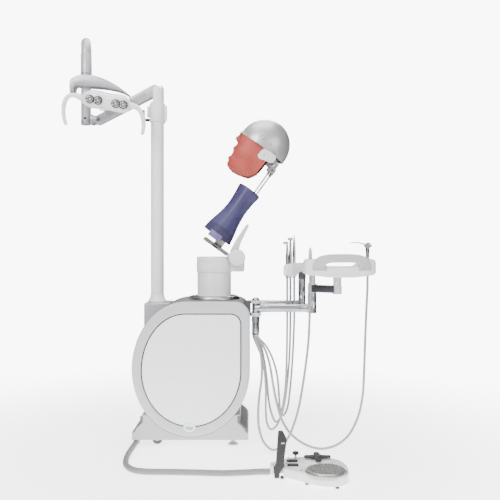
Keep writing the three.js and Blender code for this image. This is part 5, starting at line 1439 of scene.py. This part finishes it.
def handpiece(name, x, y, z0, prof, head_z, head_r, lean, node):
    g = Geo()
    pr = [(0, z0)] + prof
    g.lathe(pr + [(0, pr[-1][1])], x, y, 0, "Z", 36, 0)
    if head_z:
        top = pr[-1][1]
        g.tube(spline([(x, y, top - 2), (x + lean * 0.2, y, (top + head_z) / 2), (x + lean * 0.5, y, head_z)], 5), 3.8, 18, 0)
        g.lathe([(0, -10), (5.4, -10), (5.9, -9), (6, 7), (5.4, 10), (3, 10.6), (0, 10.8)], x - 3.5 + lean * 0.5, y, head_z, "X", 28, 0)
        g.lathe([(0, -1), (3.2, -1), (3.2, 0.6), (0, 0.8)], x - 3.5 + lean * 0.5, y - 0.0, head_z, "X", 20, 1, M=Matrix.Translation((-10, 0, 0)))
        g.tube([(x - 9, y, head_z), (x - 9, y, head_z - 7)], 0.9, 10, 1)
    piece(name, g, "rack", [K["steelx"], K["chrome"]], [node], angle=40)


def knurl(z0, z1, r):
    out = []
    n = int((z1 - z0) / 3)
    for k in range(n):
        out += [(r, z0 + 3 * k), (r - 0.45, z0 + 3 * k + 1.0), (r - 0.45, z0 + 3 * k + 1.9), (r, z0 + 3 * k + 2.6)]
    return out


handpiece("contra_angle_a", 152.5, 70, 676, [(5.8, 676), (6.2, 678), (6.8, 686), (6.8, 700)] + knurl(704, 728, 6.8) + [(6.8, 740), (6.6, 764), (5, 786), (4.5, 800), (4.4, 812)], 821, 6, -6, "handpiece_a")
handpiece("contra_angle_b", 167, 93, 676, [(5.8, 676), (6.2, 678), (6.8, 686), (6.8, 704)] + knurl(708, 738, 6.8) + [(6.8, 756), (6.6, 776), (5, 798), (4.5, 812), (4.4, 828)], 838, 6, 6, "handpiece_b")
g = Geo()
g.lathe([(0, 676), (5.8, 676), (6.2, 678), (6.8, 686), (6.8, 720)] + knurl(724, 760, 6.8) + [(6.8, 772), (6.5, 788), (5.4, 816), (4.2, 832), (3.4, 841), (2.4, 846), (1.4, 850), (1.1, 858), (0.9, 860), (0, 860)], 184, 116, 0, "Z", 36, 0)
piece("straight_handpiece", g, "rack", [K["steelx"]], ["handpiece_c"], angle=40)


# --------------------------------------------------------------- foot control
base = spline([(72, -312), (71, -335), (72, -357), (88, -361), (104, -363), (116, -380), (148, -410), (188, -441), (222, -470), (255, -483), (286, -482), (312, -470), (330, -446), (338, -410), (340, -370), (338, -330), (322, -288), (292, -259), (250, -245), (212, -244), (170, -248), (128, -262), (100, -293), (84, -304)], 6, closed=True)
if area2(base) < 0:
    base.reverse()


def disc_c(x, y, r, z0, z1, n=64):
    c = Geo()
    c.rod(x, y, 0, "Z", z0, z1, r, 0.1, n)
    return c


def pill(cx, cy, hx, hy, n=10):
    return arc(cx + hx - hy, cy, hy, hy, -90, 90, n) + arc(cx - hx + hy, cy, hy, hy, 90, 270, n)


gs = Geo()
gs.prism(base, 7, 38, "Z", r0=1.5, r1=5, seg=4)
a_ = temp(gs, M0)
apply_bool(a_, disc_c(258, -419, 69, 30, 60), "DIFFERENCE")
for y in (-303, -352):
    c1 = Geo()
    c1.prism(pill(150, y, 20.9, 9.9), 30, 60, "Z")
    apply_bool(a_, c1, "DIFFERENCE")
c1 = Geo()
c1.box(82, 121, -379, -341, 0, 60, 2)
apply_bool(a_, c1, "DIFFERENCE")
me = a_.data
bpy.data.objects.remove(a_)
piece("pedal_shell", me, "root", [K["enamel"]], ["pedal_base"], angle=35)
g = Geo()
g.lathe([(0, 30), (56, 30), (56, 38), (55.6, 42.5), (54, 45), (51, 46), (46, 46.2), (0, 46.2)], 240, -302, 0, "Z", 72, 0)
g.lathe([(69, 30.4), (70.4, 30.4), (71.5, 38), (71, 41), (70, 41.6), (69, 41)], 258, -419, 0, "Z", 72, 1)
for x, y in ((112, -373), (193, -434), (290, -474), (250, -262), (120, -280)):
    g.lathe([(0, 0), (6.6, 0), (7, 0.8), (7, 6.5), (6.4, 8), (0, 8)], x, y, 0, "Z", 24, 2)
for x, y in ((176, -408), (140, -262), (316, -300), (128, -330)):
    g.lathe([(0, 37.4), (4.6, 37.4), (4.6, 39.0), (3.4, 40.2), (1.6, 40.4), (1.4, 39.4), (0, 39.4)], x, y, 0, "Z", 24, 3)
g.ball(190, -409, 42, 5.0, 5.0, 5.0, 28, 16, 3)
g.rod(0, -333, 11.4, "X", 70.4, 84, 11, 1, 32, 0)
piece("pedal_trim", g, "root", [K["enamel"], K["steelx"], K["rubber"], K["chrome"]], ["pedal_base"], angle=38)

g = Geo()
hp = fillet([(84.5, 1), (101.5, 1), (103.5, 20), (118, 41), (119, 69), (128, 134), (113, 161), (98, 158), (94, 100), (90, 48), (84.5, 27)], [2, 2, 8, 8, 20, 6, 6, 5, 30, 8, 8], 4)
g.prism(hp, -376, -344, "Y", 1.6)
g.prism(fillet([(108, 120), (120, 121), (120.5, 126), (108, 125)], 1.5, 3), -376.5, -376.0, "Y", 0.1, mi=1)
piece("lifting_bar", g, "root", [K["handle"], K["steelx"]], ["lift_handle"], angle=38)

g = Geo()
g.lathe([(0, 36), (62, 36), (65, 37), (67, 39), (67, 43.4), (66, 45.6), (63.6, 47), (60, 47.6), (56, 47.2), (30, 48.2), (0, 48.8)], 258, -419, 0, "Z", 96, 0)
piece("disc_plate", g, "disc", [K["disc"]], ["disc_pedal"], angle=50)
g = Geo()
cr_ = [(240 + x, -302 + y) for x, y in fillet([(-9, -48), (9, -48), (13, -14), (48, -9), (48, 9), (13, 14), (9, 48), (-9, 48), (-13, 14), (-48, 9), (-48, -9), (-13, -14)], [6, 6, 9, 6, 6, 9, 6, 6, 9, 6, 6, 9], 4)]
g.prism(cr_, 52, 58.4, "Z", 2.4, 4, 0)
g.lathe([(0, 50), (16, 50), (16, 58), (15, 60.6), (12, 62), (0, 62.4)], 240, -302, 0, "Z", 44, 0)
for k in range(4):
    a = math.pi / 2 * k
    for j in range(3):
        rr = 26 + 7 * j
        px, py = 240 + rr * math.cos(a), -302 + rr * math.sin(a)
        if k % 2 == 0:
            g.box(px - 1.2, px + 1.2, py - 7, py + 7, 58, 59.2, 0.5, 0)
        else:
            g.box(px - 7, px + 7, py - 1.2, py + 1.2, 58, 59.2, 0.5, 0)
piece("cross_pad", g, "cross", [K["rubber"]], ["cross_pedal"], angle=40)
for i, y in enumerate((-303, -352)):
    g = Geo()
    g.prism(pill(150, y, 20, 9), 33.5, 44, "Z", r0=0, r1=2.6, seg=4)
    for j in range(5):
        g.box(150 - 10 + 5 * j - 0.7, 150 - 10 + 5 * j + 0.7, y - 5, y + 5, 43.8, 44.5, 0.3, 0)
    piece("foot_button_%d" % (i + 1), g, "button_%d" % (i + 1), [K["rubber"]], ["pedal_button_%d" % (i + 1)], angle=40)
g = Geo()
g.lathe([(0, 38.3), (4, 38.3), (4, 52), (0, 52)], 165, -267, 0, "Z", 28, 1)
prof = [(0, 51.5), (7, 52), (10, 53), (11.6, 56), (12, 58), (11.5, 60), (9.6, 62.6), (6, 63.8), (0, 64)]
rings = []
for r, h in prof:
    ring = []
    for i in range(60):
        t = 2 * math.pi * i / 60
        rr = max(r, 1e-4) * (1 - (0.035 if (i // 3) % 2 and r > 9 else 0))
        ring.append((165 + rr * math.cos(t), -267 + rr * math.sin(t), h))
    rings.append(ring)
g.rings(rings, 0)
piece("knob_head", g, "knob", [K["black"], K["chrome"]], ["pedal_knob"], angle=45)

for o in [x for x in bpy.data.objects if x.name.startswith("tmp")]:
    bpy.data.objects.remove(o)
